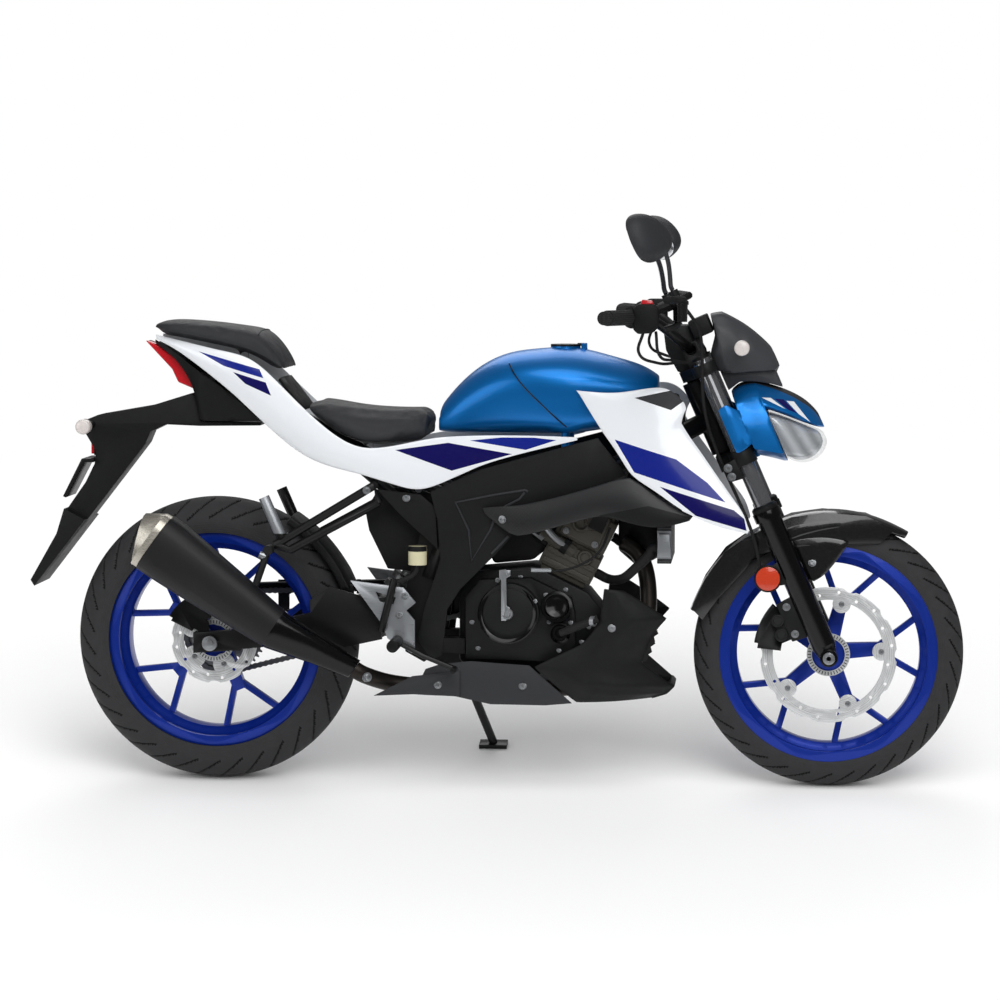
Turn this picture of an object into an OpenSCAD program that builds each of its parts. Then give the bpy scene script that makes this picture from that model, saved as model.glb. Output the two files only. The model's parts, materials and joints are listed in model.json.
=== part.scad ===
// Standard motorcycle, parked on its side stand, as an assembly of separate pieces.
// X runs forward, Y to the left and Z up. Every piece is drawn on the upright motorcycle,
// with the ground under the tyres at zero, and is then leaned over as it parks.

/* [Layout] */
// distance between the two axles
wheelbase = 1320; // [1250:5:1400]
// lean to the left when parked, in degrees
lean = 10; // [8:0.5:13]
// move along X that centres the whole on the origin
park_x = 56; // [0:1:120]
// move along Y that centres the whole on the origin
park_y = -196.5; // [-240:0.5:-160]
// rest gap between a piece and its seat
fit = 0.3; // [0.1:0.05:0.6]
// running gap of a shaft in its hole
run = 0.1; // [0.02:0.01:0.2]

/* [Wheels] */
// outside diameter of the front tyre
front_tyre_d = 576; // [540:2:610]
// width of the front tyre
front_tyre_w = 90; // [80:1:110]
// outside diameter of the rear tyre
rear_tyre_d = 614; // [580:2:650]
// width of the rear tyre
rear_tyre_w = 130; // [110:1:150]
// thickness of the tyre wall
tyre_wall = 10; // [6:0.5:14]
// diameter over the rim flanges
flange_d = 464; // [440:1:480]
// diameter of the seat that holds the tyre
bead_d = 434; // [420:1:440]
// width between the flanges of the front rim
front_rim_w = 74; // [64:1:90]
// width between the flanges of the rear rim
rear_rim_w = 102; // [90:1:118]
// thickness of the rim wall
rim_t = 6; // [4:0.5:9]
// depth of the rim well under the seat
rim_well = 16; // [8:1:24]
// radius of a wheel hub
hub_r = 37; // [30:1:45]
// length of the front hub
front_hub_w = 98; // [80:1:110]
// length of the rear hub
rear_hub_w = 112; // [90:1:124]
// reach of the five broad arms from the axle
arm_r = 124; // [100:1:140]
// width of a broad arm at its tip
arm_w = 26; // [18:1:36]
// thickness of the broad arms and the thin spokes
arm_t = 24; // [16:1:34]
// width of a thin spoke
spoke_w = 13; // [8:1:20]

/* [Brakes and drive] */
// diameter of the front brake disc
front_disc_d = 290; // [260:1:310]
// diameter of the rear brake disc
rear_disc_d = 187; // [160:1:220]
// thickness of a brake disc
disc_t = 4; // [3:0.5:6]
// width of the braking band of a disc
disc_band = 27; // [20:1:40]
// distance of the front disc from the middle plane
front_disc_y = 56; // [50:1:62]
// distance of the rear disc from the middle plane
rear_disc_y = 66; // [60:1:76]
// distance of the chain from the middle plane
chain_y = 82; // [76:1:88]
// pitch of the chain
chain_pitch = 12.7; // [10:0.1:16]
// height of a chain link plate
chain_h = 12; // [9:0.5:15]
// thickness of one pair of chain plates
plate_t = 3.4; // [2:0.2:5]
// gap between the chain plates
chain_gap = 8; // [6:0.2:10]
// thickness of the rear sprocket
sprocket_t = 5; // [3:0.2:7]
// wall of the sprocket carrier round the hub
carrier_t = 15; // [10:1:20]
// radius of an axle
axle_r = 8.5; // [6:0.5:11]

/* [Fork and steering] */
// slope of the fork from the vertical, in degrees
rake = 23.5; // [20:0.5:27]
// distance of the steering axis behind the fork legs
fork_offset = 30; // [20:1:40]
// distance between the fork legs
fork_spread = 180; // [170:1:200]
// diameter of a fork tube
tube_d = 38; // [33:1:43]
// diameter of a fork slider
slider_d = 52; // [46:1:58]
// height of a slider's top above the axle, along the fork
slider_top = 338; // [300:1:370]
// height of the lower clamp above the axle, along the fork
clamp_low = 445; // [420:1:470]
// thickness of the lower clamp
clamp_low_h = 35; // [25:1:45]
// height of the upper clamp above the axle, along the fork
clamp_high = 652; // [630:1:680]
// thickness of the upper clamp
clamp_high_h = 24; // [18:1:34]
// height of the fork tubes above the axle
tube_top = 686; // [670:1:700]
// diameter of the steering stem
stem_d = 40; // [30:1:46]
// diameter of the head tube
head_d = 62; // [54:1:72]
// gap between the head tube and each clamp
head_gap = 5; // [3:0.5:8]
// diameter of the handlebar
bar_d = 22; // [20:0.5:28]
// reach of the handlebar to each side
bar_reach = 368; // [330:2:390]
// length of a grip
grip_l = 120; // [100:1:140]
// thickness of a grip's rubber
grip_t = 5; // [3:0.5:8]
// gap between the front tyre and the top of its mudguard
guard_gap = 22; // [16:1:30]
// depth of the front mudguard's sides
guard_depth = 50; // [40:1:60]
// gap between the front mudguard and each slider
guard_clear = 6; // [4:0.5:9]

/* [Frame] */
// radius of the frame spars
spar_r = 20; // [15:1:24]
// radius of the seat rails
rail_r = 12; // [9:1:16]
// distance of the spars from the middle plane
spar_y = 96; // [86:1:104]
// distance of the spars from the middle plane beside the engine head
spar_mid_y = 90; // [84:1:100]
// distance of the seat rails from the middle plane
rail_y = 72; // [60:1:80]
// distance of the seat rails at the tail
rail_tail_y = 40; // [30:1:50]
// thickness of the swingarm pivot plates
pivot_t = 12; // [8:1:16]
// place of the swingarm pivot behind the middle
pivot_x = -215; // [-240:1:-190]
// height of the swingarm pivot
pivot_z = 385; // [360:1:410]
// radius of the swingarm pivot tube
pivot_r = 17; // [13:1:18]
// radius of the swingarm pivot bolt
pivot_bolt_r = 8; // [6:0.5:11]
// distance of the air duct stays from the middle plane
duct_stay_y = 150; // [146:1:154]
// distance of the peg plates from the middle plane
peg_y = 136; // [132:1:144]
// length of a foot peg
peg_l = 90; // [80:1:100]
// radius of the rear spring
spring_r = 29; // [24:1:32]
// wall of the spring strut's eyes
eye_t = 6; // [4:0.5:8]
// half width of the rear tyre hugger
hugger_w = 62; // [58:1:66]
// gap between the rear tyre and the hugger
hugger_gap = 16; // [12:1:20]
// radius of the coolant hoses
hose_r = 11; // [8:1:13]

/* [Engine] */
// length of the crankcase
case_l = 306; // [280:2:330]
// height of the crankcase
case_h = 234; // [210:2:250]
// half width of the crankcase
case_y = 68; // [60:1:74]
// place of the crankcase front
case_x = 178; // [150:1:200]
// height of the crankcase bottom
case_z = 240; // [225:1:260]
// depth of the right engine cover
cover_t = 32; // [24:1:40]
// radius of the clutch cover
clutch_r = 64; // [54:1:72]
// depth of the clutch cover
clutch_t = 32; // [20:1:40]
// radius of the generator cover
generator_r = 76; // [64:1:84]
// depth of the generator cover
generator_t = 46; // [34:1:56]
// width and length of the cylinder barrel
barrel_w = 104; // [90:1:116]
// height of the cylinder barrel
barrel_h = 84; // [70:1:100]
// width and length of the cylinder head
head_w = 116; // [100:1:126]
// height of the cylinder head
head_h = 104; // [90:1:120]

/* [Body] */
// height of the tail above the ground, the measure of all bodywork places
body_h = 1000; // [960:2:1040]
// height of the mirrors above the front axle along the fork, the measure of all steered places
mirror_h = 1000; // [960:2:1040]
// thickness of the body panels
panel_t = 4; // [2.5:0.5:6]
// half width of the fuel tank
tank_w = 128; // [110:1:134]
// half width of the rider seat
seat_w = 124; // [110:1:128]
// half width of the pillion seat
pillion_w = 108; // [96:1:112]
// half width over the shrouds
shroud_w = 185; // [175:1:200]
// half width over the tail panels
tail_w = 140; // [134:1:150]
// half width of the headlight cowl
cowl_w = 120; // [116:1:130]
// half width of the visor
visor_w = 78; // [66:1:90]
// half width over the frame covers
cover_y = 128; // [124:1:136]
// thickness of the frame covers
cover_panel_t = 8; // [4:1:10]
// half width of the belly pan
belly_w = 128; // [120:1:136]
// radius of the exhaust pipe
pipe_r = 19; // [15:1:23]
// half height of the muffler's rear end
muffler_r = 68; // [58:1:76]
// distance between the two holes for the number plate
plate_pitch = 110; // [90:1:130]
// radius of a hole for the number plate
plate_hole_r = 3; // [2:0.5:4]
// depth of a hole for the number plate
plate_hole_l = 12; // [8:1:16]
// distance of the muffler from the middle plane
muffler_y = 192; // [186:1:205]
// radius of the fuel filler
filler_r = 32; // [26:1:36]
// radius of the bosses that hold the panels
boss_r = 8; // [5:1:11]

/* [Side stand] */
// radius of the stand's leg
stand_r = 11; // [8:1:14]
// radius of the stand's pivot pin
stand_pin_r = 6; // [5:0.5:8]
// radius of the stand's eye
stand_eye_r = 15; // [12:1:18]
// distance of the stand's foot from the middle plane
foot_y = 222; // [205:1:240]
// length of the stand's foot
foot_l = 62; // [50:1:75]

/* [Hidden] */
$fa = 6;
$fs = 1.5;
rear_x = -wheelbase / 2;
front_x = wheelbase / 2;
rear_r = rear_tyre_d / 2;
front_r = front_tyre_d / 2;
bead_r = bead_d / 2;
flange_r = flange_d / 2;
fork_y = fork_spread / 2;
tube_r = tube_d / 2;
slider_r = slider_d / 2;
stem_r = stem_d / 2;
head_r = head_d / 2;
bar_r = bar_d / 2;
// lift of the leaned motorcycle, whose tyres roll onto their round shoulders
lift = (rear_tyre_w + front_tyre_w) / 4 * (1 - cos(lean));
// smallest overlap that makes a cut or a joint clean
over = fit;

// Sums and curves.
function flat(rows) = [for (r = rows) each r];
function mean(pts, i = 0) = i == len(pts) ? pts[0] * 0 : pts[i] / len(pts) + mean(pts, i + 1);
function unit(v) = v / norm(v);
function curve(a, b, c, d, t) = (2 * b + (c - a) * t + (2 * a - 5 * b + 4 * c - d) * t * t
    + (3 * b - a - 3 * c + d) * t * t * t) / 2;
// smooth row of points or table rows through the given ones, with steps between each two
function smooth(p, steps) = steps < 2 ? p : concat(
    [for (i = [0 : len(p) - 2], k = [0 : steps - 1])
        curve(p[max(i - 1, 0)], p[i], p[i + 1], p[min(i + 2, len(p) - 1)], k / steps)], [p[len(p) - 1]]);
// half section at one table row: x, then pairs of side and height shares from the top down
function half(row, w, h) = [for (i = [1 : 2 : len(row) - 2]) [row[0] * h, -row[i] * w, row[i + 1] * h]];
// closed ring from the right half, with the left half mirrored
function ring(p) = concat([for (q = p) [q.x, -q.y, q.z]],
    [for (i = [len(p) - 1 : -1 : 0]) if (abs(p[i].y) > 0) p[i]]);
// places of an outline, as shares of one size
function spots(shares, size) = [for (p = shares) p * size];
// grid drawn in by a wall towards the middle plane
function drawn(rows, wall) = [for (r = rows) [for (p = r) [p.x, p.y + (p.y < 0 ? wall : -wall), p.z]]];

// Solid through a row of closed rings.
module loft(rings) {
    n = len(rings[0]);
    m = len(rings);
    polyhedron(concat(flat(rings), [mean(rings[0]), mean(rings[m - 1])]), concat(
        [for (i = [0 : m - 2], k = [0 : n - 1]) let (a = i * n + k, b = i * n + (k + 1) % n)
            each [[a, b, b + n], [a, b + n, a + n]]],
        [for (k = [0 : n - 1]) [m * n, (k + 1) % n, k]],
        [for (k = [0 : n - 1]) [m * n + 1, (m - 1) * n + k, (m - 1) * n + (k + 1) % n]]), convexity = 10);
}

// Solid between two grids of points that lie a wall apart.
module between(outer, inner) {
    m = len(outer);
    n = len(outer[0]);
    s = m * n;
    function q(a, b, c, d) = [[a, b, c], [a, c, d]];
    polyhedron(concat(flat(outer), flat(inner)), concat(
        [for (i = [0 : m - 2], k = [0 : n - 2]) let (a = i * n + k) each q(a, a + 1, a + n + 1, a + n)],
        [for (i = [0 : m - 2], k = [0 : n - 2]) let (a = s + i * n + k) each q(a + n, a + n + 1, a + 1, a)],
        [for (i = [0 : m - 2]) let (a = i * n) each q(a + n, a + n + s, a + s, a)],
        [for (i = [0 : m - 2]) let (a = i * n + n - 1) each q(a, a + s, a + n + s, a + n)],
        [for (k = [0 : n - 2]) let (a = k) each q(a, a + s, a + s + 1, a + 1)],
        [for (k = [0 : n - 2]) let (a = (m - 1) * n + k) each q(a + 1, a + 1 + s, a + s, a)]),
            convexity = 10);
}

// Round tube along a path, with rings square to it; side is a direction off the path.
module tube(path, r, sides, side) {
    n = len(path);
    loft([for (i = [0 : n - 1]) let (d = unit(path[min(i + 1, n - 1)] - path[max(i - 1, 0)]),
        a = unit(cross(side, d)), b = cross(d, a))
        [for (k = [0 : sides - 1]) path[i] + r * (cos(360 * k / sides) * b + sin(360 * k / sides) * a)]]);
}

// Round bar from one point to another.
module bar(p, q, r) {
    d = q - p;
    translate(p) rotate([0, acos(d.z / norm(d)), atan2(d.y, d.x)]) cylinder(h = norm(d), r = r);
}

// Side view shape drawn out across the motorcycle, from one distance to another.
module across(y0, y1) {
    translate([0, max(y0, y1), 0]) rotate([90, 0, 0]) linear_extrude(abs(y1 - y0), convexity = 6) children();
}

// Round piece across the motorcycle.
module roller(c, y0, y1, r) {
    translate([c.x, max(y0, y1), c.y]) rotate([90, 0, 0]) cylinder(h = abs(y1 - y0), r = r);
}

// The piece and its copy on the other side.
module both() {
    children();
    mirror([0, 1, 0]) children();
}

// Frames of the two axles and of the fork, whose local Z runs up the legs.
module at_rear() translate([rear_x, 0, rear_r]) children();
module at_front() translate([front_x, 0, front_r]) children();
module on_fork() at_front() rotate([0, -rake, 0]) children();
module parked() translate([park_x, park_y, lift]) rotate([-lean, 0, 0]) children();

// Wheels.
module tyre(d, w, rim_w) {
    c = d / 2 - w / 2;
    rotate([90, 0, 0]) rotate_extrude(convexity = 6, $fa = 4) difference() {
        union() {
            translate([c, 0]) circle(d = w);
            polygon([[c, w / 2 - fit], [c, fit - w / 2], [bead_r - w / 2, -rim_w / 2], [bead_r - w / 2,
                rim_w / 2]]);
        }
        intersection() {
            translate([c, 0]) circle(d = w - 2 * tyre_wall);
            translate([flange_r + tyre_wall * 0.7, -w]) square([d, 2 * w]);
        }
        translate([0, tyre_wall - rim_w / 2]) square([flange_r + tyre_wall * 0.85, rim_w - 2 * tyre_wall]);
        translate([0, -w]) square([bead_r, 2 * w]);
        for (s = [-1, 1]) translate([0, s * (rim_w / 2 - fit + w / 2)])
            translate([0, -w / 2]) square([flange_r + fit, w]);
    }
}

rim_side_shares = [0.16, 0.3, 0.5];
module rim(rim_w) {
    seat = bead_r - fit;
    well = seat - rim_well;
    side = [for (p = rim_side_shares) p * rim_w];
    upper = [[well, side[0]], [seat, side[1]], [seat, side[2]], [flange_r, side[2]],
        [flange_r, side[2] + rim_t], [seat - rim_t, side[2] + rim_t], [seat - rim_t, side[1] + rim_t],
        [well - rim_t, side[0] + rim_t]];
    rotate_extrude(convexity = 6, $fa = 4) polygon(concat(upper,
        [for (i = [len(upper) - 1 : -1 : 0]) [upper[i].x, -upper[i].y]]));
}

arm_count = 5;
// Cast wheel: five broad arms from the hub, each split into two thin spokes.
module cast_wheel(rim_w, hub_w, pad_y, pad_at) {
    rim_in = bead_r - fit - rim_well;
    rotate([90, 0, 0]) difference() {
        union() {
            rim(rim_w);
            translate([0, 0, -hub_w / 2]) cylinder(h = hub_w, r = hub_r);
            for (k = [0 : arm_count - 1]) rotate([0, 0, 90 - 14 + 360 / arm_count * k]) {
                translate([0, 0, -arm_t / 2]) linear_extrude(arm_t)
                    polygon([[0, arm_w * 0.7], [0, -arm_w * 0.7], [arm_r, -arm_w / 2], [arm_r, arm_w / 2]]);
                translate([pad_at, 0, 0]) cylinder(h = pad_y, r = arm_w * 0.42);
                for (s = [-1, 1]) let (a = [arm_r - arm_w * 0.7, s * arm_w * 0.2],
                    b = (rim_in + over) * [cos(90 / arm_count), s * sin(90 / arm_count)],
                    n = unit([a.y - b.y, b.x - a.x]) * spoke_w / 2)
                    translate([0, 0, -arm_t * 0.35]) linear_extrude(arm_t * 0.7)
                        polygon([a + n, a - n, b - n, b + n]);
            }
        }
        translate([0, 0, -hub_w]) cylinder(h = 2 * hub_w, r = axle_r + run);
    }
}

// Brake disc with a lobed edge, vent holes and five ears.
module brake_disc(d, ears_r, lobes) {
    r = d / 2;
    inner = r - disc_band;
    difference() {
        union() {
            difference() {
                circle(r = r);
                circle(r = inner);
            }
            for (k = [0 : arm_count - 1]) rotate([0, 0, 90 - 14 + 360 / arm_count * k])
                translate([ears_r, 0]) circle(r = inner - ears_r + disc_band * 0.5);
        }
        for (k = [0 : lobes - 1]) rotate([0, 0, 360 / lobes * k]) translate([r + disc_band * 0.72, 0])
            circle(r = disc_band * 0.9);
        for (k = [0 : 2 * lobes - 1]) rotate([0, 0, 180 / lobes * (k + 0.5)])
            translate([r - disc_band * (k % 2 == 0 ? 0.36 : 0.64), 0]) circle(r = disc_band * 0.13);
        for (k = [0 : arm_count - 1]) rotate([0, 0, 90 - 14 + 360 / arm_count * k])
            translate([ears_r, 0]) circle(r = axle_r * 0.5);
    }
}

front_ear_r = arm_r - arm_w * 0.45;
rear_ear_r = rear_disc_d / 2 - disc_band - arm_w * 0.4;
module front_tyre() color("#1b1b1c") at_front() tyre(front_tyre_d, front_tyre_w, front_rim_w);
module rear_tyre() color("#1b1b1c") at_rear() tyre(rear_tyre_d, rear_tyre_w, rear_rim_w);
module front_wheel() color("#0d2fa0") at_front()
    cast_wheel(front_rim_w, front_hub_w, front_disc_y - disc_t / 2, front_ear_r);
module rear_wheel() color("#0d2fa0") at_rear()
    cast_wheel(rear_rim_w, rear_hub_w, rear_disc_y - disc_t / 2, rear_ear_r);
module front_disc() color("#b9bcc0") at_front() across(-front_disc_y - disc_t / 2, -front_disc_y + disc_t / 2)
    brake_disc(front_disc_d, front_ear_r, 10);
module rear_disc() color("#b9bcc0") at_rear() across(-rear_disc_y - disc_t / 2, -rear_disc_y + disc_t / 2)
    brake_disc(rear_disc_d, rear_ear_r, 8);

// Chain drive.
rear_teeth = 44;
front_teeth = 14;
rear_pitch_r = chain_pitch / 2 / sin(180 / rear_teeth);
front_pitch_r = chain_pitch / 2 / sin(180 / front_teeth);
drive_shares = [-0.118, 0.385];
drive = spots([drive_shares], body_h)[0];
driven = [rear_x, rear_r];
run_dir = atan2(drive.y - driven.y, drive.x - driven.x);
run_len = norm(drive - driven);
wrap = acos((rear_pitch_r - front_pitch_r) / run_len);
straight = run_len * sin(wrap);
front_arc = front_pitch_r * wrap * PI / 90;
rear_arc = rear_pitch_r * (360 - 2 * wrap) * PI / 180;
loop_len = 2 * straight + front_arc + rear_arc;
links = 2 * round(loop_len / chain_pitch / 2);
function ray(a) = [cos(a), sin(a)];
// place on the chain loop at length u, moved out by h
function on_chain(u, h) =
    u < straight ? driven + (rear_pitch_r + h) * ray(run_dir + wrap) + u * ray(run_dir + wrap - 90)
    : u < straight + front_arc ? drive + (front_pitch_r + h)
        * ray(run_dir + wrap - (u - straight) / front_pitch_r * 180 / PI)
    : u < 2 * straight + front_arc ? drive + (front_pitch_r + h) * ray(run_dir - wrap)
        + (u - straight - front_arc) * ray(run_dir - wrap - 90)
    : driven + (rear_pitch_r + h) * ray(run_dir - wrap - (u - 2 * straight - front_arc) / rear_pitch_r * 180 / PI);
function strip(side) = [for (i = [0 : links - 1], k = [0, 1])
    on_chain((i + k / 2) * loop_len / links, side * chain_h * (k == 0 ? 0.5 : 0.36))];
module chain() color("#6d6f72") {
    for (s = [-1, 1]) let (y0 = chain_y + s * chain_gap / 2)
        across(y0, y0 + s * plate_t) difference() {
            polygon(strip(1));
            polygon(strip(-1));
        }
    for (i = [0 : links - 1]) let (u = i * loop_len / links, c = on_chain(u, 0))
        if (norm(c - driven) > rear_pitch_r + 1.2 * chain_h && norm(c - drive) > front_pitch_r + chain_h)
            across(chain_y - chain_gap / 2,
                chain_y + chain_gap / 2) translate(c) circle(r = chain_h * 0.32, $fn = 6);
}

carrier_r = hub_r + carrier_t;
module rear_sprocket() color("#8f9296") at_rear() {
    tip = rear_pitch_r + chain_h * 0.22;
    root = rear_pitch_r - chain_h * 0.36;
    difference() {
        union() {
            across(chain_y - sprocket_t / 2, chain_y + sprocket_t / 2) polygon(
                [for (i = [0 : rear_teeth - 1], k = [0 : 3]) (k < 2 ? root : tip)
                    * ray((i + [-0.22, 0.22, 0.4, 0.6][k]) * 360 / rear_teeth)]);
            roller([0, 0], arm_t / 2, chain_y, carrier_r);
        }
        roller([0, 0], 0, rear_hub_w / 2 + fit, hub_r + fit);
        roller([0, 0], 0, 2 * chain_y, axle_r + 10 * run);
        for (k = [0 : arm_count - 1]) rotate([0, 360 / arm_count * k, 0])
            roller([carrier_r * 1.3, 0], 0, 2 * chain_y, hub_r * 0.3);
    }
}

// Fork and steering, drawn on the fork.
module fork_sliders() color("#141414") both() on_fork() difference() {
    union() {
        translate([0, fork_y, slider_r]) cylinder(h = slider_top - slider_r, r = slider_r);
        translate([0, fork_y, -slider_r * 0.4]) cylinder(h = slider_r * 1.4 + over, r1 = slider_r * 0.6,
            r2 = slider_r);
        roller([0, 0], fork_y - slider_r, fork_y + slider_r, axle_r * 2.2);
        translate([0, fork_y, slider_top - tube_r]) cylinder(h = tube_r, r = slider_r * 1.16);
    }
    translate([0, fork_y, slider_top / 2]) cylinder(h = slider_top, r = tube_r + fit);
    roller([0, 0], 0, fork_spread, axle_r + fit);
}
module fork_tubes() color("#c9ccd0") both() on_fork()
    translate([0, fork_y, slider_top / 2 + fit]) cylinder(h = tube_top - slider_top / 2 - fit, r = tube_r);
module front_axle() color("#8f9296") at_front() difference() {
    union() {
        roller([0, 0], -fork_y - slider_r - tube_r / 2, fork_y + slider_r + tube_r / 2, axle_r);
        for (s = [-1, 1]) {
            roller([0, 0], s * (front_hub_w / 2 + fit), s * (fork_y - slider_r - fit), axle_r * 1.6);
            roller([0, 0], s * (fork_y + slider_r + fit), s * (fork_y + slider_r + tube_r / 2), axle_r * 1.5);
        }
    }
    roller([0, 0], -fork_spread, fork_spread, axle_r * 0.6);
}
module clamp(z, h) translate([0, 0, z]) difference() {
    union() {
        for (s = [-1, 1]) translate([0, s * fork_y, 0]) cylinder(h = h, r = tube_r * 1.45);
        linear_extrude(h) polygon([[tube_r, fork_y], [tube_r * 1.1, 0], [tube_r, -fork_y],
            [-tube_r, -fork_y], [-fork_offset - stem_r * 1.3, -stem_r * 1.5],
            [-fork_offset - stem_r * 1.3, stem_r * 1.5], [-tube_r, fork_y]]);
    }
    for (s = [-1, 1]) translate([0, s * fork_y, -h]) cylinder(h = 3 * h, r = tube_r + fit);
}
bar_clamp_shares = [-0.012, 0.055, 0.712];
bar_clamp = bar_clamp_shares * mirror_h;
module steering_head() color("#191919") on_fork() {
    clamp(clamp_low, clamp_low_h);
    clamp(clamp_high, clamp_high_h);
    translate([-fork_offset, 0, clamp_low]) cylinder(h = clamp_high - clamp_low + clamp_high_h * 1.4,
        r = stem_r);
    both() difference() {
        translate([bar_clamp.x - bar_r * 1.6, bar_clamp.y - bar_r, clamp_high + over])
            cube([bar_r * 3.2, bar_r * 2, bar_clamp.z + bar_r * 1.3 - clamp_high]);
        translate([bar_clamp.x, 0, bar_clamp.z]) rotate([90, 0, 0])
            cylinder(h = fork_spread, r = bar_r + fit, center = true);
    }
}
bar_shares = [[-0.012, 0, 0.712], [-0.012, 0.08, 0.712], [-0.03, 0.125, 0.755], [-0.052, 0.175, 0.801],
    [-0.072, 0.215, 0.818], [-0.131, 0.368, 0.845]];
bar_path = spots(bar_shares, mirror_h);
grip_dir = unit(bar_path[5] - bar_path[4]);
bar_end = bar_path[4] + grip_dir * (bar_reach - bar_path[4].y) / grip_dir.y;
grip_in = bar_end - grip_dir * grip_l;
module handlebar() color("#151515") on_fork() {
    right = [for (p = [bar_end, each [for (i = [4 : -1 : 1]) bar_path[i]]]) [p.x, -p.y, p.z]];
    left = [for (p = [each [for (i = [1 : 4]) bar_path[i]], bar_end]) p];
    tube(concat(right, left), bar_r, 14, [0, 0, 1]);
}
module grips() color("#161616") both() on_fork() difference() {
    union() {
        bar(grip_in, bar_end, bar_r + grip_t);
        bar(grip_in, grip_in + grip_dir * grip_t, bar_r + 2.4 * grip_t);
        bar(bar_end + grip_dir * fit, bar_end + grip_dir * bar_r * 1.6, bar_r + grip_t * 0.6);
    }
    bar(grip_in - grip_dir * bar_r, bar_end + grip_dir * fit, bar_r + fit);
}

// Steered body, drawn on the fork. Shares are of mirror_h, sides of each half width.
perch_shares = [0.062, 0.028, 0.012];
perch = perch_shares * mirror_h;
boss_shares = [-0.008, 0.205, 0.818];
mirror_foot = boss_shares * mirror_h;
stem_shares = [[-0.008, 0.205, 0.843], [-0.008, 0.205, 0.853], [-0.002, 0.22, 0.872],
    [0.006, 0.262, 0.905], [0.008, 0.322, 0.945]];
mirror_at_shares = [0.004, 0.33, 0.962];
mirror_outline_shares = [[-0.074, -0.018], [-0.058, 0.014], [-0.022, 0.046], [0.024, 0.06], [0.058, 0.052],
    [0.0764, 0.028], [0.0764, -0.022], [0.06, -0.044], [0.02, -0.053], [-0.03, -0.05], [-0.064, -0.04]];
mirror_depth_shares = [[0, 0.97], [0.006, 1], [0.026, 0.86], [0.038, 0.5], [0.041, 0.2]];
mirror_turn = 24;
module hand_controls() color("#1a1a1a") both() on_fork() {
    sw = grip_in - grip_dir * fit;
    knee = mirror_foot + [perch.y, perch.x * 0.3, 0];
    difference() {
        union() {
            bar(sw - grip_dir * perch.x, sw, bar_r * 1.9, $fn = 12);
            bar(sw - grip_dir * perch.x * 0.6, mirror_foot, bar_r * 0.9, $fn = 8);
        }
        tube([bar_path[3], bar_path[4], bar_end], bar_r + fit, 14, [0, 0, 1]);
    }
    bar(mirror_foot - [0, 0, perch.z], mirror_foot + [0, 0, 2 * perch.z], bar_r, $fn = 12);
    tube([mirror_foot, knee, mirror_foot + [perch.y * 0.1, perch.x * 2.6, perch.z]], perch.z * 0.7, 8, [0,
        0, 1]);
}
module mirrors() color("#2a2b2d") both() on_fork() {
    tube(smooth(spots(stem_shares, mirror_h), 3), bar_r * 0.5, 10, [1, 0, 0]);
    translate(mirror_at_shares * mirror_h) rotate([0, 0, mirror_turn])
        loft([for (d = mirror_depth_shares) [for (p = mirror_outline_shares)
            [d.x, p.x * d.y, p.y * d.y] * mirror_h]]);
}

cowl_shares = [
    [0.03, 0, 0.6, 0.5, 0.595, 0.9, 0.572, 0.98, 0.52, 0.93, 0.468, 0.5, 0.451, 0, 0.449],
    [0.055, 0, 0.611, 0.45, 0.602, 0.87, 0.57, 0.95, 0.515, 0.9, 0.452, 0.45, 0.434, 0, 0.431],
    [0.083, 0, 0.602, 0.42, 0.592, 0.8, 0.556, 0.88, 0.505, 0.84, 0.432, 0.42, 0.412, 0, 0.408],
    [0.084, 0, 0.602, 0.42, 0.591, 0.8, 0.555, 0.82, 0.545, 0.72, 0.538, 0.4, 0.534, 0, 0.534],
    [0.115, 0, 0.58, 0.36, 0.568, 0.7, 0.53, 0.72, 0.518, 0.6, 0.51, 0.36, 0.506, 0, 0.506],
    [0.145, 0, 0.552, 0.3, 0.54, 0.58, 0.5, 0.6, 0.486, 0.5, 0.478, 0.3, 0.475, 0, 0.475],
    [0.17, 0, 0.52, 0.22, 0.51, 0.42, 0.47, 0.43, 0.46, 0.35, 0.455, 0.2, 0.453, 0, 0.453],
    [0.182, 0, 0.484, 0.12, 0.478, 0.22, 0.458, 0.22, 0.452, 0.18, 0.449, 0.1, 0.447, 0, 0.447]];
ear_shares = [[-0.008, 0.575, 0.475, 1.02], [0.012, 0.578, 0.475, 1.02], [0.0312, 0.556, 0.482, 0.952]];
module headlight_cowl() color("#1553c8") on_fork() {
    loft([for (r = cowl_shares) ring(half(r, cowl_w, mirror_h))]);
    ears = [for (e = ear_shares) [for (k = [0 : 2]) [e[0] * mirror_h, -cowl_w * e[3],
        (e[1] + (e[2] - e[1]) * k / 2) * mirror_h]]];
    both() between(drawn(ears, panel_t), ears);
    translate([tube_r * 1.1 + fit, -stem_r, clamp_low + fit]) cube([tube_r * 0.6, stem_d, clamp_low_h * 0.6]);
}
lamp_shares = [
    [0.0843, 0, 0.529, 0.44, 0.529, 0.76, 0.523, 0.78, 0.47, 0.7, 0.425, 0.35, 0.411, 0, 0.409],
    [0.115, 0, 0.503, 0.4, 0.503, 0.68, 0.497, 0.7, 0.45, 0.62, 0.404, 0.3, 0.393, 0, 0.391],
    [0.145, 0, 0.472, 0.32, 0.472, 0.56, 0.468, 0.58, 0.44, 0.52, 0.402, 0.25, 0.392, 0, 0.391],
    [0.165, 0, 0.452, 0.23, 0.452, 0.42, 0.449, 0.43, 0.432, 0.4, 0.412, 0.2, 0.404, 0, 0.403],
    [0.176, 0, 0.44, 0.14, 0.44, 0.26, 0.437, 0.27, 0.43, 0.26, 0.422, 0.13, 0.417, 0, 0.416]];
module headlamp() color("#dfe6ee") on_fork() loft([for (r = lamp_shares) ring(half(r, cowl_w, mirror_h))]);

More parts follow.
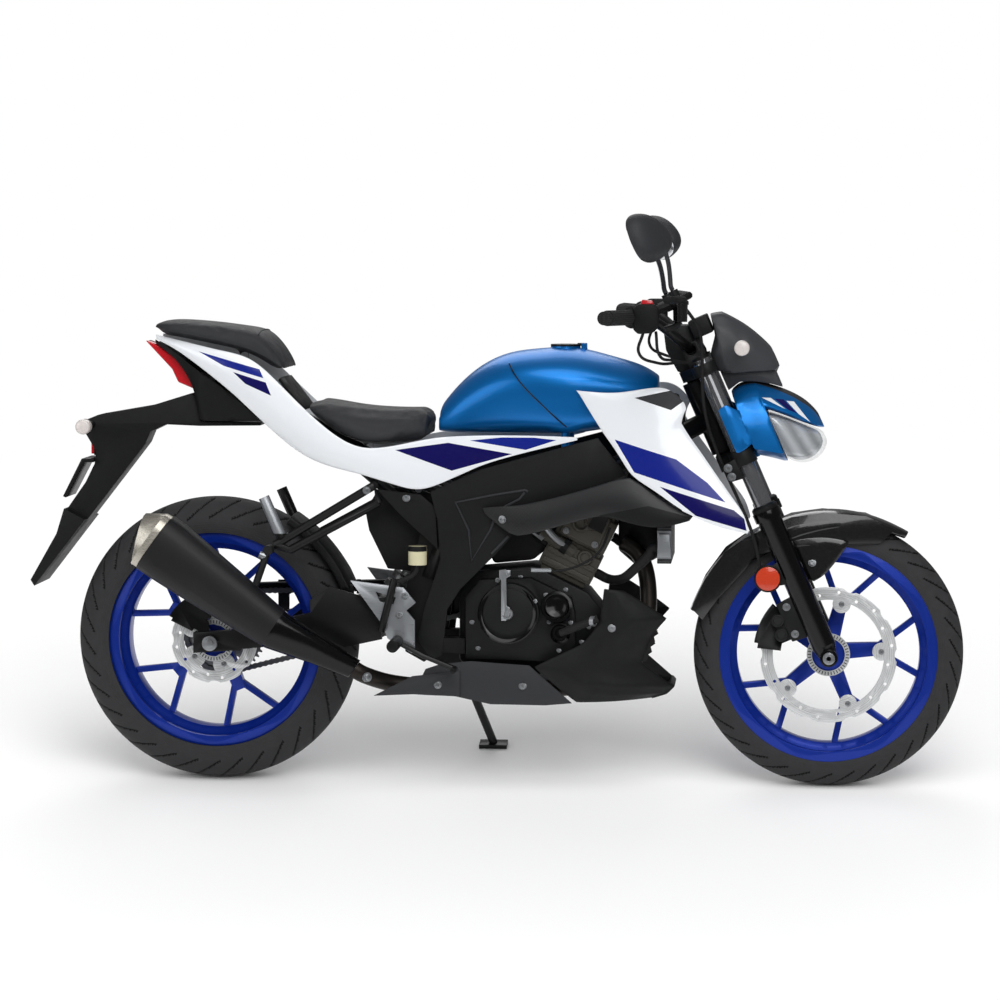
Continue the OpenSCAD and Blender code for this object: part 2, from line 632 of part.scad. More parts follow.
visor_shares = [
    [0.0213, 0, 0.69, 0.6, 0.686, 0.8, 0.672, 0.84, 0.66, 0.78, 0.65, 0, 0.646],
    [0.046, 0, 0.722, 0.7, 0.718, 0.96, 0.7, 1.00, 0.672, 0.9, 0.634, 0, 0.63],
    [0.054, 0, 0.768, 0.62, 0.764, 0.92, 0.735, 0.98, 0.69, 0.88, 0.63, 0, 0.626],
    [0.078, 0, 0.763, 0.6, 0.757, 0.88, 0.722, 0.94, 0.68, 0.84, 0.622, 0, 0.618],
    [0.112, 0, 0.724, 0.52, 0.716, 0.78, 0.682, 0.82, 0.65, 0.72, 0.61, 0, 0.604],
    [0.134, 0, 0.682, 0.4, 0.674, 0.6, 0.645, 0.62, 0.625, 0.54, 0.602, 0, 0.594],
    [0.146, 0, 0.652, 0.2, 0.645, 0.34, 0.628, 0.35, 0.618, 0.3, 0.608, 0, 0.604]];
brow_shares = [
    [0.026, 0, 0.655, 0.52, 0.652, 0.56, 0.628, 0.52, 0.6, 0, 0.604],
    [0.055, 0, 0.637, 0.52, 0.634, 0.56, 0.622, 0.52, 0.608, 0, 0.6135],
    [0.083, 0, 0.628, 0.5, 0.625, 0.54, 0.612, 0.5, 0.599, 0, 0.6045],
    [0.115, 0, 0.614, 0.44, 0.611, 0.48, 0.594, 0.44, 0.577, 0, 0.5825],
    [0.135, 0, 0.602, 0.34, 0.599, 0.37, 0.58, 0.34, 0.561, 0, 0.566]];
lamp_stalk_shares = [0.091, 0.05, 0.676];
lamp_reach_shares = [0.135, 0.19];
module visor() color("#3a3c3f") on_fork() {
    loft([for (r = visor_shares) ring(half(r, visor_w, mirror_h))]);
    loft([for (r = brow_shares) ring(half(r, visor_w, mirror_h))]);
    p = lamp_stalk_shares * mirror_h;
    both() bar(p, [p.x, lamp_reach_shares[0] * mirror_h, p.z], boss_r);
}
module front_indicators() color("#e9d9cf") both() on_fork() {
    p = lamp_stalk_shares * mirror_h;
    y0 = lamp_reach_shares[0] * mirror_h + fit;
    bar([p.x, y0, p.z], [p.x, lamp_reach_shares[1] * mirror_h, p.z], boss_r * 2);
}
meter_shares = [0.004, 0.066, 0.729];
meter_size_shares = [0.0428, 0.132, 0.04];
module instrument() color("#17181a") on_fork()
    translate([meter_shares[0], -meter_shares[1],
        meter_shares[2]] * mirror_h) cube(meter_size_shares * mirror_h);

// Front mudguard over the tyre, with bosses that meet the sliders.
guard_angles = [163, 152, 140, 128, 116, 104, 92, 80, 68, 57];
guard_width_shares = [0.62, 0.82, 0.95, 1, 1, 1, 0.97, 0.88, 0.72, 0.4];
guard_depth_shares = [0.35, 0.6, 0.8, 0.95, 1, 0.95, 0.8, 0.6, 0.4, 0.25];
guard_side_shares = [-1, -0.99, -0.82, -0.5, 0, 0.5, 0.82, 0.99, 1];
guard_drop_shares = [1, 0.55, 0.2, 0.05, 0, 0.05, 0.2, 0.55, 1];
guard_w = fork_y - slider_r - guard_clear;
function guard_grid(t) = [for (i = [0 : len(guard_angles) - 1]) [for (k = [0 : 8])
    let (a = guard_angles[i], r = front_r + guard_gap - t
        - guard_drop_shares[k] * guard_depth * guard_depth_shares[i])
    [r * cos(a), guard_side_shares[k] * (guard_w * guard_width_shares[i] - t), r * sin(a)]]];
guard_stay_shares = [[-0.3, 0.84], [-0.05, 0.885], [0.15, 0.84], [-0.01, 0.6], [-0.11, 0.545],
    [-0.165, 0.56]];
module front_fender() color("#151515") at_front() {
    between(guard_grid(0), guard_grid(panel_t));
    both() across(guard_w - panel_t, guard_w) polygon(spots(guard_stay_shares, front_r));
    rotate([0, -rake, 0]) both() bar([0, guard_w - panel_t / 2, front_r - boss_r],
        [0, fork_y - slider_r - fit, front_r - boss_r], boss_r);
}

function sector(r0, r1, a0, a1) = concat([for (k = [0 : 6]) r0 * ray(a0 + (a1 - a0) * k / 6)],
    [for (k = [6 : -1 : 0]) r1 * ray(a0 + (a1 - a0) * k / 6)]);
// Brake caliper over a disc of radius r at distance y, from angle a to b.
module caliper(r, y, a, b, deep) {
    across(-y - 6 * disc_t, -y - disc_t) polygon(sector(r - 1.6 * disc_band, r + 0.25 * disc_band, a - 4,
        b + 4));
    across(-y - 6 * disc_t, -y + 4 * disc_t) polygon(sector(r + 0.2 * disc_band, r + 0.55 * disc_band, a, b));
    across(-y + disc_t * 2, -y + 4 * disc_t) polygon(sector(r - deep * disc_band, r + 0.5 * disc_band, a, b));
}
module front_caliper() color("#26272a") {
    at_front() caliper(front_disc_d / 2, front_disc_y, 138, 170, 0.5);
    on_fork() translate([-slider_d - slider_r, -fork_y - disc_t, 2.5 * slider_r])
        cube([slider_d - fit, 2.5 * disc_t + fork_y - front_disc_y - 5 * disc_t, slider_d]);
}
hose_shares = [[0.016, -0.196, 0.8], [0.024, -0.15, 0.745], [0.002, -0.128, 0.68], [-0.03, -0.124, 0.6],
    [-0.046, -0.1, 0.5], [-0.044, -0.095, 0.3], [-0.075, -0.09, 0.185]];
module brake_hose() color("#101010") on_fork() tube(smooth(spots(hose_shares, mirror_h), 3), boss_r * 0.5,
    8, [0, 1, 0]);

// Frame. Shares are of body_h.
function fork_pt(x, z) = [front_x + x * cos(rake) - z * sin(rake), front_r + x * sin(rake) + z * cos(rake)];
head_low = clamp_low + clamp_low_h + head_gap;
head_len = clamp_high - head_gap - head_low;
head_at = fork_pt(-fork_offset - head_r * 0.6, head_low + head_len * 0.45);
spar_shares = [[0.15, 0.655], [-0.15, 0.56], [-0.19, 0.45]];
rail_shares = [[-0.06, 0.59], [-0.33, 0.7], [-0.6, 0.85], [-0.69, 0.88]];
stay_shares = [[-0.19, 0.56], [-0.4, 0.735]];
pivot_plate_shares = [[-0.15, 0.575], [-0.2, 0.575], [-0.235, 0.44], [-0.25, 0.37], [-0.24, 0.292],
    [-0.2, 0.27], [-0.172, 0.29], [-0.16, 0.38], [-0.15, 0.47]];
duct_stay_shares = [[0.1, 0.625], [0.1, 0.6]];
bracket_share = 0.29;
lug_shares = [[-0.175, 0.32], [-0.114, 0.32], [-0.114, 0.286], [-0.172, 0.29]];
pillion_lug_shares = [-0.305, 0.648];
pillion_lug_y_share = 0.106;
hanger_shares = [[0.245, 0.7], [0.215, 0.69], [0.148, 0.56], [0.178, 0.545]];
spar_front_y = head_r * 0.7;
spar_path = [[head_at.x, spar_front_y, head_at.y],
    [spar_shares[0].x * body_h, spar_mid_y, spar_shares[0].y * body_h],
    [spar_shares[1].x * body_h, spar_y, spar_shares[1].y * body_h],
    [spar_shares[2].x * body_h, spar_y, spar_shares[2].y * body_h]];
tail_bar = [0.2, 0.8] * [for (i = [2, 3]) [rail_shares[i].x * body_h,
    i == 2 ? (rail_y + rail_tail_y) / 2 : rail_tail_y,
    rail_shares[i].y * body_h]];
bracket_at = spar_path[0] + (spar_path[1] - spar_path[0]) * bracket_share;
rail_sides = [spar_y, rail_y, (rail_y + rail_tail_y) / 2, rail_tail_y];
rail_path = [for (i = [0 : 3]) [rail_shares[i].x * body_h, rail_sides[i], rail_shares[i].y * body_h]];
stand_plate_shares = [[-0.225, 0.3], [-0.165, 0.3], [-0.125, 0.266], [-0.125, 0.224], [-0.18, 0.224]];
module frame() color("#141414") {
    difference() {
        union() {
            both() {
                tube(spar_path, spar_r, 14, [0, 1, 0]);
                tube(rail_path, rail_r, 12, [0, 1, 0]);
                bar([stay_shares[0].x * body_h, spar_y, stay_shares[0].y * body_h],
                    [stay_shares[1].x * body_h, rail_y, stay_shares[1].y * body_h], rail_r);
                across(spar_y, spar_y + pivot_t) polygon(spots(pivot_plate_shares, body_h));
                bar([duct_stay_shares[0].x * body_h, spar_mid_y, duct_stay_shares[0].y * body_h],
                    [duct_stay_shares[1].x * body_h, duct_stay_y - boss_r / 2,
                        duct_stay_shares[1].y * body_h],
                    boss_r * 0.7);
                roller(duct_stay_shares[1] * body_h, duct_stay_y - boss_r, duct_stay_y, boss_r);
                across(head_w / 2 + fit, spar_mid_y - spar_r / 2) polygon(spots(hanger_shares, body_h));
                across(case_y + fit, spar_y + over) polygon(spots(lug_shares, body_h));
                roller(pillion_lug_shares * body_h, rail_y, pillion_lug_y_share * body_h, boss_r);
                bar(bracket_at, [bracket_at.x, bracket_at.y, radiator_shares[0].y * body_h + fit],
                    boss_r * 0.8);
            }
            roller([spar_path[2].x, spar_path[2].z], -spar_y, spar_y, spar_r * 0.8);
            roller([tail_bar.x, tail_bar.z], -tail_bar.y, tail_bar.y, rail_r * 0.7);
            roller([pivot_x, pivot_z], -spar_y - pivot_t, spar_y + pivot_t, pivot_bolt_r);
            on_fork() translate([-fork_offset, 0, head_low]) cylinder(h = head_len, r = head_r);
            across(spar_y, spar_y + pivot_t) polygon(spots(stand_plate_shares, body_h));
            bar(stand_at - stand_axis * stand_r * 2.3, stand_at + stand_axis * stand_r, stand_pin_r);
            bar(stand_at + stand_axis * (stand_r * 0.9 + 2 * fit), stand_at + stand_axis * stand_r * 1.4,
                stand_eye_r * 0.7);
        }
        on_fork() translate([-fork_offset, 0, 0]) cylinder(h = mirror_h, r = stem_r + run);
    }
}

cover_shares = [[-0.184, 0.636], [-0.078, 0.684], [0.092, 0.731], [0.172, 0.752], [0.232, 0.674],
    [0.176, 0.652], [0.05, 0.606], [-0.035, 0.592], [-0.046, 0.577], [-0.01, 0.544], [-0.046, 0.503],
    [-0.121, 0.428], [-0.148, 0.385], [-0.159, 0.288], [-0.181, 0.277], [-0.212, 0.32], [-0.198, 0.384],
    [-0.163, 0.491], [-0.169, 0.576]];
side_cover_shares = [[-0.3, 0.64], [-0.206, 0.63], [-0.174, 0.602], [-0.169, 0.512], [-0.249, 0.586]];
side_boss_shares = [-0.25, 0.61];
module frame_covers() color("#1c1c1d") both() {
    across(cover_y - cover_panel_t, cover_y) polygon(spots(cover_shares, body_h));
    roller([spar_path[2].x, spar_path[2].z], spar_y + spar_r * 1.08 + fit, cover_y - over, boss_r);
    across(spar_y + spar_r, spar_y + spar_r + panel_t) polygon(spots(side_cover_shares, body_h));
    roller(spots([side_boss_shares], body_h)[0], spar_y + 1.5 * panel_t, spar_y + spar_r + over, boss_r);
}

// Engine. The barrel stands square on the sloped top of the crankcase.
case_shares = [[0.524, 1], [0.9, 0.76], [1, 0.6], [1, 0.256], [0.869, 0.064], [0.575, 0], [0.124, 0],
    [0, 0.128], [0, 0.77], [0.124, 0.95]];
case_back = case_x - case_l;
barrel_base = [case_back + case_l * (0.524 + 0.9) / 2, case_z + case_h * (1 + 0.76) / 2];
case_slope = atan2(case_h * 0.24, case_l * 0.376);
module crankcase() color("#1d1e20") across(-case_y, case_y)
    polygon([for (p = case_shares) [case_back + p.x * case_l, case_z + p.y * case_h]]);
right_cover_shares = [[0.0545, 0.16], [0.0545, 0.72], [0.154, 0.88], [0.509, 0.9], [0.79, 0.72], [0.816, 0.58],
    [0.816, 0.3], [0.72, 0.14]];
clutch_shares = [0.363, 0.59];
filter_shares = [0.696, 0.654];
crank_shares = [0.719, 0.41];
generator_shares = [0.62, 0.53];
sprocket_cover_shares = [[-0.155, 0.345], [-0.155, 0.425], [-0.12, 0.442], [-0.066, 0.436], [-0.058, 0.4],
    [-0.058, 0.35], [-0.075, 0.328], [-0.12, 0.328]];
sprocket_boss_shares = [[-0.07, 0.43], [-0.07, 0.338]];
function in_case(p) = [case_back + p.x * case_l, case_z + p.y * case_h];
module engine_covers() color("#202124") {
    across(-case_y - cover_t, -case_y - fit) polygon([for (p = right_cover_shares) in_case(p)]);
    roller(in_case(clutch_shares), -case_y - cover_t - clutch_t, -case_y - cover_t / 2, clutch_r);
    roller(in_case(clutch_shares), -case_y - cover_t - clutch_t * 1.15, -case_y - cover_t / 2,
        clutch_r * 0.84);
    roller(in_case(filter_shares), -case_y - cover_t - clutch_t * 0.8, -case_y - cover_t / 2,
        clutch_r * 0.44);
    roller(in_case(crank_shares), -case_y - cover_t - clutch_t * 0.6, -case_y - cover_t / 2, clutch_r * 0.34);
    roller(in_case(generator_shares), case_y + fit, case_y + generator_t * 0.8, generator_r);
    roller(in_case(generator_shares), case_y + generator_t / 2, case_y + generator_t, generator_r * 0.8);
    y0 = chain_y + chain_gap / 2 + plate_t + boss_r / 2;
    across(y0, y0 + boss_r * 2) polygon(spots(sprocket_cover_shares, body_h));
    for (p = spots(sprocket_boss_shares, body_h)) roller(p, case_y + fit, y0 + over, boss_r);
}
module cylinder_top() color("#4b4a46") translate([barrel_base.x, 0, barrel_base.y]) rotate([0, case_slope,
    0]) {
    translate([-barrel_w / 2, -barrel_w / 2, fit]) cube([barrel_w, barrel_w, barrel_h]);
    translate([-head_w / 2, -head_w / 2, barrel_h]) cube([head_w, head_w, head_h * 0.7]);
    translate([-head_w * 0.42, -head_w * 0.42, barrel_h]) cube([head_w * 0.84, head_w * 0.84, head_h]);
    translate([-head_w * 0.52, -head_w * 0.52, barrel_h * 0.15])
        cube([head_w * 1.04, head_w * 1.04, barrel_h * 0.72]);
}

radiator_shares = [[0.297, 0.69], [0.327, 0.69], [0.327, 0.486], [0.297, 0.486]];
radiator_y_share = 0.118;
cap_box_shares = [[0.3, 0.55], [0.324, 0.55], [0.327, 0.5], [0.297, 0.5]];
cap_box_y_share = 0.128;
module radiator() color("#2b2c2e") {
    across(-radiator_y_share * body_h, radiator_y_share * body_h) polygon(spots(radiator_shares, body_h));
    across(-cap_box_y_share * body_h, -radiator_y_share * body_h + over) polygon(spots(cap_box_shares,
        body_h));
}
low_hose_shares = [[0.297, -0.1, 0.518], [0.276, -0.1, 0.498], [0.25, -0.098, 0.474], [0.224, -0.086, 0.45]];
high_hose_shares = [[0.297, 0.085, 0.655], [0.278, 0.085, 0.63], [0.256, 0.07, 0.588]];
hose_up_shares = [0.5, 1.43];
hose_y_shares = [-0.3, 0.34];
hose_wide_shares = [0.52, 0.5];
// place in front of the cylinder, up its slope by u and out from its front face by d
function on_front(wide, y, u, d) = [barrel_base.x + cos(case_slope) * (wide + d) + sin(case_slope) * u, y,
    barrel_base.y - sin(case_slope) * (wide + d) + cos(case_slope) * u];
module coolant_hoses() color("#161616") for (k = [0, 1]) {
    first = (k == 0 ? low_hose_shares : high_hose_shares) * body_h;
    ends = [for (d = [3, 1, 0]) on_front(hose_wide_shares[k] * head_w, hose_y_shares[k] * head_w,
        hose_up_shares[k] * barrel_h, fit + d * hose_r)];
    start = first[0] - [fit + hose_r, 0, 0];
    tube(concat([first[0] - [fit, 0, 0]], smooth(concat([start], [for (i = [1 : len(first) - 1]) first[i]],
        [ends[0], ends[1]]), 2), [ends[2]]), hose_r, 10, [0, 1, 0]);
}

pipe_shares = [[0.218, 0, 0.52], [0.25, -0.004, 0.502], [0.272, -0.012, 0.45], [0.275, -0.03, 0.36],
    [0.25, -0.05, 0.275], [0.18, -0.072, 0.225], [0.05, -0.085, 0.212], [-0.1, -0.088, 0.212],
    [-0.23, -0.094, 0.216], [-0.292, -0.12, 0.23]];
// Muffler: rings along its sloped axis, each a rounded oval; x, z, half height and side.
muffler_shares = [[-0.345, 0.2588, 0.33, 0.78], [-0.42, 0.3, 0.46, 0.9], [-0.503, 0.343, 0.64, 1],
    [-0.56, 0.384, 0.74, 1], [-0.66, 0.456, 0.9, 1], [-0.735, 0.511, 1, 1], [-0.762, 0.53, 1, 1]];
muffler_axis = unit([muffler_shares[6].x - muffler_shares[2].x, 0,
    muffler_shares[6].y - muffler_shares[2].y]);
muffler_up = [-muffler_axis.z, 0, muffler_axis.x];
muffler_at = [for (m = muffler_shares) [m.x * body_h, -muffler_y * m[3], m.y * body_h]];
module exhaust_pipe() color("#4a443c") tube(concat(smooth(spots(pipe_shares, body_h), 2),
    [for (d = [1, 0]) muffler_at[0] - muffler_axis * (fit + d * pipe_r)]), pipe_r, 12, [0, 1, 0]);
function oval(c, up, r, wide) = [for (k = [0 : 15]) let (a = 22.5 * k)
    c + r * (sign(cos(a)) * pow(abs(cos(a)), 0.75) * up + wide * sign(sin(a)) * pow(abs(sin(a)),
        0.75) * [0, 1, 0])];
muffler_lug_shares = [[-0.527, 0.512], [-0.556, 0.425]];
muffler_lug_y_shares = [0.14, 0.172];
module muffler() color("#171717") {
    loft([for (i = [0 : 6]) oval(muffler_at[i], muffler_up, muffler_shares[i].z * muffler_r, 0.84)]);
    p = muffler_lug_shares * body_h;
    y = muffler_lug_y_shares * body_h;
    roller(p[0], -y[0], -y[1], boss_r * 1.3);
    bar([p[0].x, -y[1] + boss_r, p[0].y], [p[1].x, -y[1] - boss_r, p[1].y], boss_r, $fn = 10);
}
cap_shares = [[-0.7628, 0.5306, 0.97], [-0.775, 0.538, 0.96], [-0.796, 0.5365, 0.84]];
module muffler_cap() color("#b5b3ae") {
    tilt = [muffler_up, muffler_up, unit([-0.25, 0, -1]) ];
    loft([for (i = [0 : 2]) oval([cap_shares[i].x * body_h, -muffler_y, cap_shares[i].y * body_h], tilt[i],
        cap_shares[i].z * muffler_r, 0.84)]);
}

// Bodywork. Heights and lengths are shares of body_h, sides of each half width.
tank_shares = [
    [-0.172, 0, 0.812, 0.32, 0.809, 0.48, 0.795, 0.51, 0.775, 0.45, 0.762, 0, 0.76],
    [-0.14, 0, 0.853, 0.4, 0.846, 0.63, 0.817, 0.65, 0.782, 0.56, 0.76, 0, 0.757],
    [-0.09, 0, 0.898, 0.46, 0.889, 0.77, 0.85, 0.76, 0.797, 0.62, 0.76, 0, 0.757],
    [-0.03, 0, 0.927, 0.48, 0.92, 0.91, 0.88, 0.87, 0.812, 0.68, 0.76, 0, 0.757],
    [0.04, 0, 0.937, 0.5, 0.93, 1.00, 0.89, 0.98, 0.822, 0.78, 0.762, 0, 0.757],
    [0.12, 0, 0.939, 0.5, 0.93, 1.00, 0.885, 0.97, 0.82, 0.82, 0.764, 0, 0.757],
    [0.2, 0, 0.92, 0.46, 0.912, 0.9, 0.872, 0.86, 0.824, 0.73, 0.776, 0, 0.77],
    [0.26, 0, 0.902, 0.4, 0.894, 0.73, 0.862, 0.7, 0.828, 0.58, 0.796, 0, 0.792],
    [0.295, 0, 0.88, 0.3, 0.875, 0.52, 0.852, 0.5, 0.834, 0.38, 0.82, 0, 0.818]];
tank_foot_shares = [0.1, 0.639];
filler_shares = [0.095, 0.9415];
hinge_r = boss_r * 0.3;
hinge_x = boss_r;
hinge_z = fit + boss_r * 0.4;
module fuel_tank() color("#1553c8") {
    loft([for (r = smooth(tank_shares, 2)) ring(smooth(half(r, tank_w, body_h), 2))]);
    foot = spots([tank_foot_shares], body_h)[0];
    both() translate([foot.x, spar_mid_y,
        foot.y + spar_r * 1.2]) cylinder(h = (tank_shares[5][10] - tank_foot_shares[1]) * body_h
        - spar_r, r = boss_r);
    f = filler_shares * body_h;
    translate([f.x, 0, f.y - filler_r]) cylinder(h = filler_r, r = filler_r);
    both() translate([f.x + filler_r + hinge_x / 4, boss_r * 0.75, f.y - boss_r * 2]) cube([hinge_x * 1.5,
        boss_r * 0.7, boss_r * 2.8]);
    roller([f.x + filler_r + hinge_x, f.y + hinge_z], -boss_r, boss_r, hinge_r);
}
module fuel_cap() color("#2c2d30") {
    f = filler_shares * body_h;
    difference() {
        union() {
            translate([f.x, 0, f.y + fit]) cylinder(h = boss_r / 2, r = filler_r);
            translate([f.x + filler_r * 0.8, -boss_r * 0.6, f.y + fit]) cube([filler_r * 0.2 + hinge_x,
                boss_r * 1.2, boss_r * 0.8]);
        }
        roller([f.x + filler_r + hinge_x, f.y + hinge_z], -boss_r, boss_r, hinge_r + run);
        translate([f.x + filler_r + hinge_x + hinge_r * 2, -boss_r, f.y]) cube([boss_r, 2 * boss_r, boss_r]);
    }
}

seat_shares = [
    [-0.456, 0, 0.827, 0.46, 0.826, 0.7, 0.82, 0.74, 0.812, 0.6, 0.806, 0, 0.806],
    [-0.41, 0, 0.823, 0.64, 0.821, 0.9, 0.806, 0.93, 0.782, 0.8, 0.776, 0, 0.776],
    [-0.34, 0, 0.811, 0.72, 0.808, 0.99, 0.786, 1.00, 0.746, 0.85, 0.738, 0, 0.738],
    [-0.26, 0, 0.806, 0.7, 0.803, 0.96, 0.78, 0.98, 0.744, 0.85, 0.738, 0, 0.738],
    [-0.19, 0, 0.808, 0.58, 0.804, 0.76, 0.78, 0.79, 0.754, 0.7, 0.748, 0, 0.748]];
seat_foot_shares = [-0.33, 0.717];
module rider_seat() color("#1a1a1b") {
    loft([for (r = smooth(seat_shares, 2)) ring(smooth(half(r, seat_w, body_h), 2))]);
    both() translate([seat_foot_shares[0] * body_h, rail_y, seat_foot_shares[1] * body_h])
        cylinder(h = (seat_shares[2][8] - seat_foot_shares[1]) * body_h, r = boss_r * 0.6);
}
pillion_shares = [
    [-0.796, 0, 0.985, 0.28, 0.984, 0.48, 0.98, 0.5, 0.976, 0.4, 0.973, 0, 0.973],
    [-0.76, 0, 0.996, 0.48, 0.994, 0.76, 0.984, 0.79, 0.971, 0.65, 0.967, 0, 0.967],
    [-0.68, 0, 0.992, 0.6, 0.99, 0.9, 0.976, 0.94, 0.958, 0.8, 0.953, 0, 0.953],
    [-0.6, 0, 0.982, 0.66, 0.98, 0.98, 0.964, 1.00, 0.94, 0.85, 0.936, 0, 0.936],
    [-0.548, 0, 0.971, 0.66, 0.968, 0.97, 0.946, 0.99, 0.918, 0.85, 0.914, 0, 0.914],
    [-0.512, 0, 0.932, 0.6, 0.926, 0.88, 0.908, 0.92, 0.892, 0.8, 0.888, 0, 0.888],
    [-0.498, 0, 0.902, 0.52, 0.898, 0.76, 0.89, 0.8, 0.886, 0.7, 0.884, 0, 0.884]];
pillion_foot_shares = [-0.6, 0.8655];
module pillion_seat() color("#1a1a1b") {
    loft([for (r = smooth(pillion_shares, 2)) ring(smooth(half(r, pillion_w, body_h), 2))]);
    both() translate([pillion_foot_shares[0] * body_h, rail_sides[2], pillion_foot_shares[1] * body_h])
        cylinder(h = (pillion_shares[3][8] - pillion_foot_shares[1]) * body_h, r = boss_r * 0.6);
}

// Tail panel stations: top x and z, bottom x and z, sides at the top, the middle and the bottom.
tail_shares = [
    [-0.787, 0.965, -0.786, 0.955, 0.3, 0.3, 0.3], [-0.726, 0.953, -0.737, 0.934, 0.5, 0.56, 0.52],
    [-0.651, 0.936, -0.672, 0.889, 0.66, 0.72, 0.64], [-0.582, 0.921, -0.607, 0.838, 0.74, 0.82, 0.7],
    [-0.532, 0.886, -0.543, 0.778, 0.78, 0.86, 0.72], [-0.468, 0.823, -0.468, 0.717, 0.84, 0.9, 0.78],
    [-0.393, 0.759, -0.403, 0.689, 0.93, 0.96, 0.86], [-0.328, 0.728, -0.33, 0.672, 0.96, 0.98, 0.92],
    [-0.253, 0.735, -0.253, 0.649, 0.95, 1.00, 0.95], [-0.17, 0.752, -0.189, 0.642, 0.95, 1.00, 0.97],
    [-0.06, 0.757, -0.081, 0.692, 0.97, 1.00, 0.98], [0.04, 0.757, 0.03, 0.724, 0.99, 1.00, 0.98],
    [0.128, 0.754, 0.129, 0.748, 0.98, 0.98, 0.98]];
function tail_row(s) = let (a = [s[0], 0, s[1]] * body_h, b = [s[2], 0, s[3]] * body_h)
    [for (k = [0 : 4]) let (t = k / 4) a + (b - a) * t - [0, 1, 0] * tail_w
        * ((1 - t) * (1 - t) * s[4] + 2 * t * (1 - t) * (2 * s[5] - (s[4] + s[6]) / 2) + t * t * s[6])];
tail_boss_shares = [-0.33, 0.7];
module tail_cowl() color("#f2f3f5") both() {
    rows = [for (s = smooth(tail_shares, 2)) tail_row(s)];
    between(drawn(rows, panel_t), rows);
    p = tail_boss_shares * body_h;
    bar([p.x, -tail_w * 0.98 + panel_t, p.y], [p.x, -rail_y - rail_r * 1.06 - fit, p.y], boss_r);
}
// Channel under the tail: x, then side and height of its upper and lower edges.
channel_shares = [[-0.79, 0.036, 0.955, 0.03, 0.945], [-0.745, 0.058, 0.93, 0.046, 0.914],
    [-0.722, 0.064, 0.913, 0.05, 0.884], [-0.702, 0.068, 0.897, 0.052, 0.846],
    [-0.69, 0.071, 0.888, 0.054, 0.778], [-0.62, 0.078, 0.842, 0.06, 0.778],
    [-0.556, 0.083, 0.784, 0.068, 0.776]];
channel_boss_shares = [-0.66, 0.87];
function channel_rows(t) = [for (c = channel_shares * body_h) [[c[0], t - c[1], c[2]], [c[0], t - c[3],
    c[4] + t],
    [c[0], c[3] - t, c[4] + t], [c[0], c[1] - t, c[2]]]];
bridge_shares = [[-0.464, 0.803], [-0.459, 0.808], [-0.512, 0.876], [-0.517, 0.871]];
bridge_y_share = 0.085;
bridge_at_share = 0.6;
module tail_inner() color("#18181a") {
    between(channel_rows(panel_t), channel_rows(0));
    across(-bridge_y_share * body_h, bridge_y_share * body_h) polygon(spots(bridge_shares, body_h));
    b = rail_path[1] + (rail_path[2] - rail_path[1]) * bridge_at_share;
    both() translate(b + [0, 0, rail_r * 1.32]) cylinder(h = (mean(bridge_shares).y) * body_h - b.z - rail_r * 1.32,
        r = boss_r * 0.6);
    p = channel_boss_shares * body_h;
    side = rail_tail_y + (rail_sides[2] - rail_tail_y) / 3;
    both() bar([p.x, side + rail_r * 1.06 + fit, p.y], [p.x, channel_shares[4][1] * body_h, p.y],
        boss_r * 0.8);
}
light_y_share = 0.028;
light_shares = [[-0.742, 0.862], [-0.755, 0.89], [-0.813, 0.952]];
module tail_light() color("#c01218") across(-light_y_share * body_h,
    light_y_share * body_h) polygon(spots(concat(
    [for (i = [0 : 3]) [channel_shares[i][0], channel_shares[i][4] - fit / body_h * 2]], light_shares),
        body_h));
arm_shares = [[-0.56, 0.7752], [-0.6915, 0.7772], [-0.7005, 0.83], [-0.714, 0.838], [-0.801, 0.811],
    [-0.916, 0.791], [-0.951, 0.777], [-0.948, 0.757], [-0.921, 0.712], [-0.925, 0.685], [-0.945, 0.645],
    [-0.984, 0.59], [-1.002, 0.536], [-1.06, 0.435], [-1.052, 0.422], [-0.813, 0.729], [-0.802, 0.755],
    [-0.769, 0.771], [-0.693, 0.768], [-0.562, 0.7695]];
flap_shares = [[-0.985, 0.59], [-1.002, 0.536], [-1.06, 0.435], [-1.052, 0.422], [-0.94, 0.566]];
arm_y_share = 0.036;
flap_y_share = 0.075;
tail_stalk_shares = [-0.93, 0.77];
tail_reach_shares = [0.095, 0.135];
module plate_hanger() color("#1b1b1c") {
    a = flap_shares[1] * body_h;
    b = flap_shares[2] * body_h;
    n = unit([a.y - b.y, 0, b.x - a.x]);
    m = [(a.x + b.x) / 2, 0, (a.y + b.y) / 2];
    difference() {
        union() {
            across(-arm_y_share * body_h, arm_y_share * body_h) polygon(spots(arm_shares, body_h));
            across(-flap_y_share * body_h, flap_y_share * body_h) polygon(spots(flap_shares, body_h));
        }
        for (s = [-1, 1]) bar(m + [0, s * plate_pitch / 2, 0] + n * plate_hole_l, m + [0,
            s * plate_pitch / 2, 0] - n * over,
            plate_hole_r);
    }
    p = tail_stalk_shares * body_h;
    both() roller(p, 0, tail_reach_shares[0] * body_h, boss_r);
}
module rear_indicators() color("#e9d9cf") both() roller(tail_stalk_shares * body_h,
    tail_reach_shares[0] * body_h + fit, tail_reach_shares[1] * body_h, boss_r * 2);

